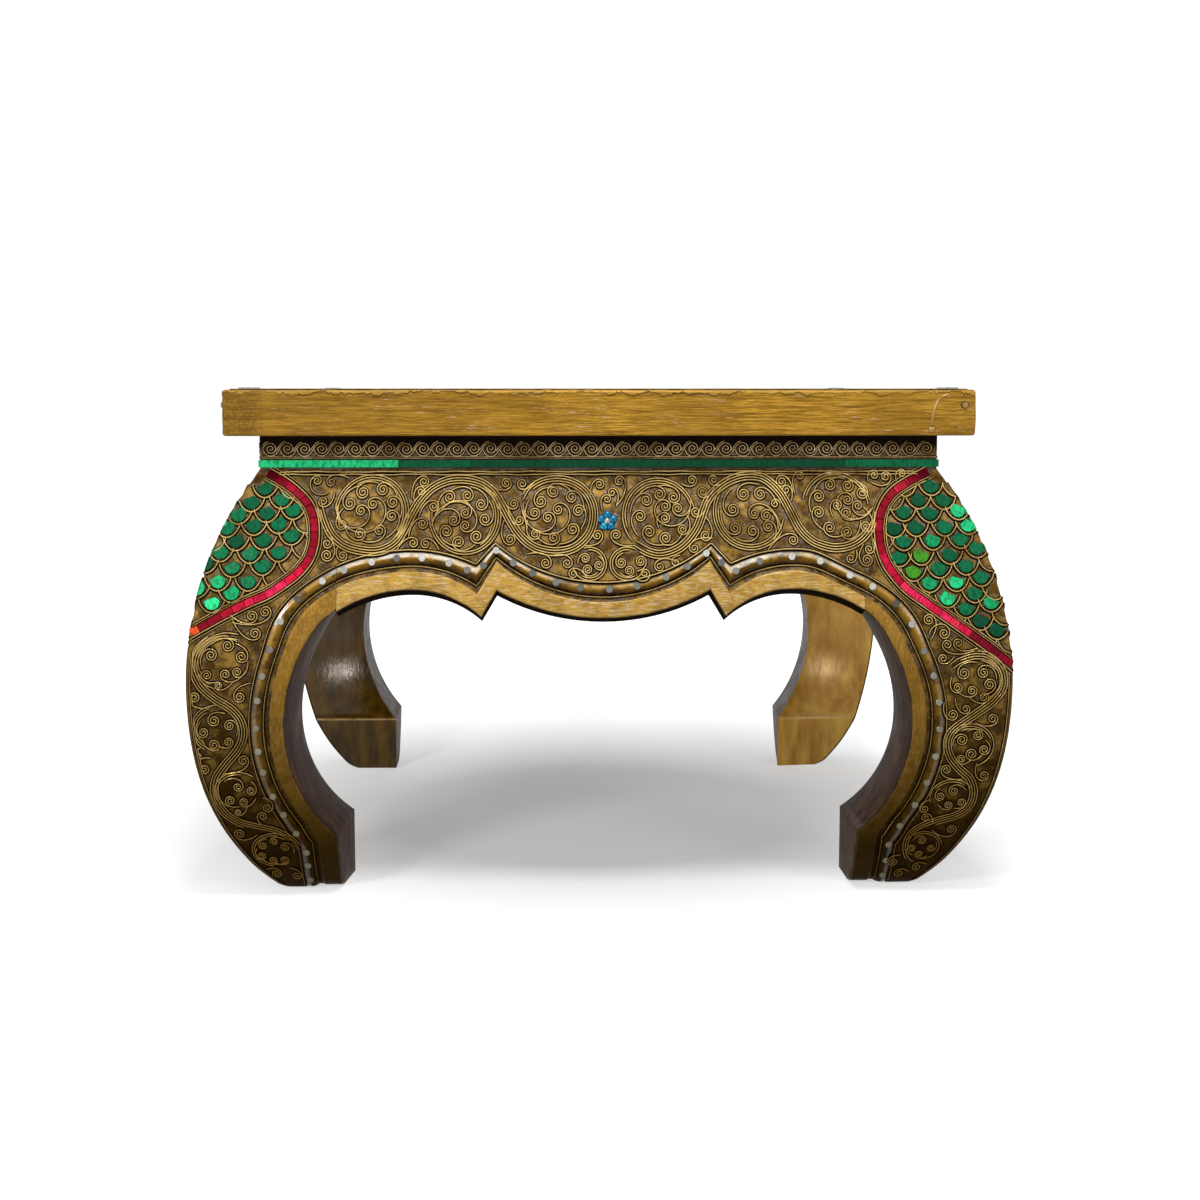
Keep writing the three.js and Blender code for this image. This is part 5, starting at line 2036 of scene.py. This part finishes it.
@dataclass
class Rail(SideWork):
    """One of the four boards round the top, each covering the end of the next.

    The three numbers of `cuts` are for the directions along the board, upwards and across it.
    """

    rounding: float = 2.4
    overlap: float = .3
    edge_drop: float = .65
    cuts: tuple[int, int, int] = (260, 14, 12)

    @staticmethod
    def worn(middle: Vector) -> bool:
        """True for an edge on the outside of the top, but not for the upright ones where two boards meet."""
        across, near = max(abs(middle.x), abs(middle.y)), min(abs(middle.x), abs(middle.y))
        return across > .299 and not (.2 < near < .29 and .377 < middle.z < .412)

    @staticmethod
    def hollow(place: Vector) -> float:
        """How far the hand planed surface lies behind the true face, in millimetres."""
        return .75 + .45 * Bench.uneven(place, .016, .05) + .2 * Bench.uneven(place, .09, .22, 9)

    def build(self) -> None:
        """Builds the board: a block eased on its outer edges, whose planed surface runs on to the next."""
        low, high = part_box(f"top_rail_{self.name}")
        axis = self.side % 2
        if abs(low[axis]) < abs(high[axis]):
            low[axis] -= self.overlap * MM
        else:
            high[axis] += self.overlap * MM
        board = Bench.block(f"gilt_rail_{self.name}", low, high)
        Bench.ease(board, self.rounding * MM, 4, self.worn)
        for run, cuts in zip((axis, 2, 1 - axis), self.cuts):
            Bench.cut_along(board, run, cuts)
        for vertex in board.data.vertices:
            place = vertex.co / MM
            depth = self.hollow(place)
            for side in (0, 1):
                if abs(place[side]) > TOP_HALF - 3:
                    vertex.co[side] -= math.copysign(depth * MM, place[side])
            if place.z > TOP_FACE - 3:
                bumps = Bench.uneven(place, .05, seed=3) + Bench.uneven(place, .17, seed=7)
                vertex.co[2] -= MM * (self.edge_drop + .4 * bumps)
        bpy.ops.object.shade_smooth_by_angle(angle=math.radians(40))
        board.data.materials.append(self.finishes.boards[axis])
        board.data.materials.append(self.finishes.ends[1 - axis])
        for face in board.data.polygons:
            face.material_index = 1 if abs(face.normal[axis]) > .6 else 0
        placed(board, [f"top_rail_{self.name}"])


@dataclass
class Top:
    """The board top: planks, rails, nail heads and the ornament that can only be seen from above."""

    finishes: Finishes
    sunk: float = .7
    wave_line: float = 19.2
    flower_at: float = 280.5
    flower_size: float = 1.35
    rail_face: float = 299.2
    lower_nail: Point = (264, 381.5)
    ridge: tuple[Point, ...] = (
        (277.5, 409), (273, 408.2), (269, 404.5), (266, 397), (264.4, 389), (264, 385))

    def planks(self) -> None:
        """Builds the planks between the rails."""
        for number in (1, 2, 3):
            node = f"top_plank_{number}"
            low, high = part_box(node)
            plank = Bench.block(f"gilt_plank_{number}", low, high)
            Bench.ease(plank, .8 * MM, 2)
            long_axis = 0 if high.x - low.x > high.y - low.y else 1
            Bench.cut_along(plank, long_axis, 60)
            Bench.cut_along(plank, 1 - long_axis, 10)
            for vertex in plank.data.vertices:
                if vertex.co.z > high.z - .2 * MM:
                    vertex.co.z -= MM * (.3 + .3 * Bench.uneven(vertex.co / MM, .02, seed=number))
            bpy.ops.object.shade_smooth_by_angle(angle=math.radians(40))
            plank.data.materials.append(self.finishes.boards[long_axis])
            placed(plank, [node])

    def threads(self) -> None:
        """Makes the border of threads and the scrolls on the top."""
        shape = Shape()
        level = TOP_FACE - self.sunk
        for quarter in range(4):
            face = Face(lambda x, y, lift: np.stack([x, y - TOP_HALF, level + lift], axis=1), quarter)
            for y, width, bead in ((7, 1.6, 0), (9.4, 1.4, .35), (29.5, 1.4, .35), (31.9, 1.6, 0)):
                x = np.linspace(y - TOP_HALF, TOP_HALF - y, 46)
                line = np.stack([x, np.full_like(x, y)], axis=1)
                Thread(width, 1.2, bead).lay_on(shape, evenly(line, 1.1) if bead else line, face)
            for number in range(-18, 19):
                for wave in running_wave(number * WAVE_PITCH, self.wave_line):
                    Thread(1.3, 1.1).lay_on(shape, wave, face)
        shape.piece("top_threads", [self.finishes.thread])

    def flowers(self) -> None:
        """Makes the flower on each corner of the top."""
        for corner, name in enumerate(CORNERS):
            shape = Shape()
            face = Face(lambda x, y, lift: np.stack([x, y, TOP_FACE - .2 + lift], axis=1), corner)
            mirror_flower(shape, self.flower_at, -self.flower_at, face, self.flower_size)
            shape.piece(f"top_petals_{name}", [self.finishes.blue, self.finishes.carving],
                        [f"top_flower_{name}"])

    def nails(self) -> None:
        """Makes each rail's lower nail head, its ridge of gilding and a dark ring round both nails."""
        low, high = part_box("rail_nail_front")
        upper = (low + high) / 2 / MM
        stepped = ((3.1, -.6, .72, 1), (2.5, -.2, .8, 0), (1.6, .5, .55, 0))
        for side, name in enumerate(SIDES):
            shape = Shape()
            face = upright(self.rail_face, side)
            for place, discs in ((self.lower_nail, stepped), ((upper.x, upper.z), ((3.5, -.6, .72, 1),))):
                for radius, base, thick, finish in discs:
                    tile(shape, circle(*place, radius, 18), face, base, thick, finish=finish)
            Thread(1.5, 1.1, 0, BURIED).lay_on(shape, smooth_path(self.ridge, 1.6), face)
            shape.piece(f"lower_nail_{name}", [self.finishes.nail, self.finishes.lacquer])

    def build(self) -> None:
        """Builds the top."""
        self.planks()
        for side in range(4):
            Rail(side, self.finishes).build()
        for make in (self.threads, self.flowers, self.nails):
            make()


@dataclass
class PlainWork:
    """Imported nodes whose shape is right, which only get their finish."""

    finishes: Finishes

    def build(self) -> None:
        """Dresses battens, pegs, pins, nails and neck rails."""
        wood, nail, neck = self.finishes.wood, self.finishes.nail, self.finishes.neck
        kinds = {"batten_": wood, "corner_peg_": wood, "tenon_pin_": wood, "rail_nail_": nail,
                 "neck_rail_": neck}
        for name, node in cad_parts.items():
            for start, finish in kinds.items():
                if name.startswith(start):
                    node.data.materials.clear()
                    node.data.materials.append(finish)


# Studio, in metres

@dataclass
class Studio:
    """White surroundings, soft lamps and the camera; a lamp is (name, place, power in watts, width)."""

    camera_at: tuple[float, float, float] = (-0.0418, -1.7193, 0.4136)
    camera_turn: tuple[float, float, float] = (90 - 6.756, 0.0, -1.65)
    lens: float = 53.46
    ambient: float = .18
    lamps: tuple[tuple[str, tuple[float, float, float], float, float], ...] = (
        ("key", (-1.2, -1.9, 1.15), 20, .4), ("fill", (1.5, -2.0, 1.1), 10, .6),
        ("over", (.1, -1.1, 2.3), 26, .5), ("back", (0, 1.9, 1.7), 10, 1.6))

    def floor(self) -> None:
        """Adds the floor: white to the camera, and still darkened by the table's shadow."""
        Bench.clear()
        bpy.ops.mesh.primitive_circle_add(vertices=96, radius=9, fill_type="NGON", location=(0, 0, -.0004))
        floor = bpy.context.object
        floor.name = "floor"
        bpy.ops.object.transform_apply(location=True, rotation=True, scale=True)
        n = Nodes("pale floor", 0, .9)
        n.set("Base Color", (.6, .6, .6, 1))
        n.set("Specular IOR Level", 0)
        n.set("Emission Color", (1, 1, 1, 1))
        apart = n.node("VectorMath", {0: n.place}, operation="LENGTH").outputs["Value"]
        n.set("Emission Strength", n.times(n.seen(), n.span(apart, .2, .62, .3, 1)))
        floor.data.materials.append(n.material)

    def world(self) -> None:
        """Sets a world that is white to the eye and in reflections, and dimmer as a light."""
        world = bpy.data.worlds.new("studio")
        bpy.context.scene.world = world
        world.use_nodes = True
        tree = Tree(world.node_tree)
        back = world.node_tree.nodes["Background"].inputs
        tree.put(back["Color"], (1, 1, 1, 1))
        tree.put(back["Strength"], tree.span(tree.seen(), 0, 1, self.ambient, 1))

    def lamp(self, name: str, at: tuple[float, float, float], power: float, size: float) -> None:
        """Adds a soft lamp that points at the middle of the table.

        Args:
            name: Name of the lamp.
            at: Its place.
            power: Its power in watts.
            size: Width of its square.
        """
        data = bpy.data.lights.new(name, "AREA")
        data.energy = power
        data.size = size
        lamp = bpy.data.objects.new(name, data)
        lamp.location = at
        lamp.rotation_euler = (Vector((0, 0, .22)) - Vector(at)).to_track_quat("-Z", "Y").to_euler()
        bpy.context.scene.collection.objects.link(lamp)

    def camera(self) -> None:
        """Adds the camera at the photo's viewing angle."""
        data = bpy.data.cameras.new("camera")
        data.lens = self.lens
        data.sensor_width = 36.0
        camera = bpy.data.objects.new("camera", data)
        camera.location = self.camera_at
        camera.rotation_euler = tuple(math.radians(a) for a in self.camera_turn)
        bpy.context.scene.collection.objects.link(camera)
        bpy.context.scene.camera = camera

    def build(self) -> None:
        """Builds the studio."""
        self.floor()
        self.world()
        for lamp in self.lamps:
            self.lamp(*lamp)
        self.camera()
        bpy.context.scene.view_settings.view_transform = "Standard"


def main() -> None:
    """Builds the table piece by piece, then the studio."""
    logging.basicConfig(level=logging.INFO, format="%(message)s")
    finishes = Finishes()
    PlainWork(finishes).build()
    Top(finishes).build()
    for side in range(4):
        Neck(side, finishes).build()
        Apron(side, finishes).build()
    for corner in range(4):
        Leg(corner, finishes).build()
    Studio().build()
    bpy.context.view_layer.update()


if __name__ == "__main__":
    main()
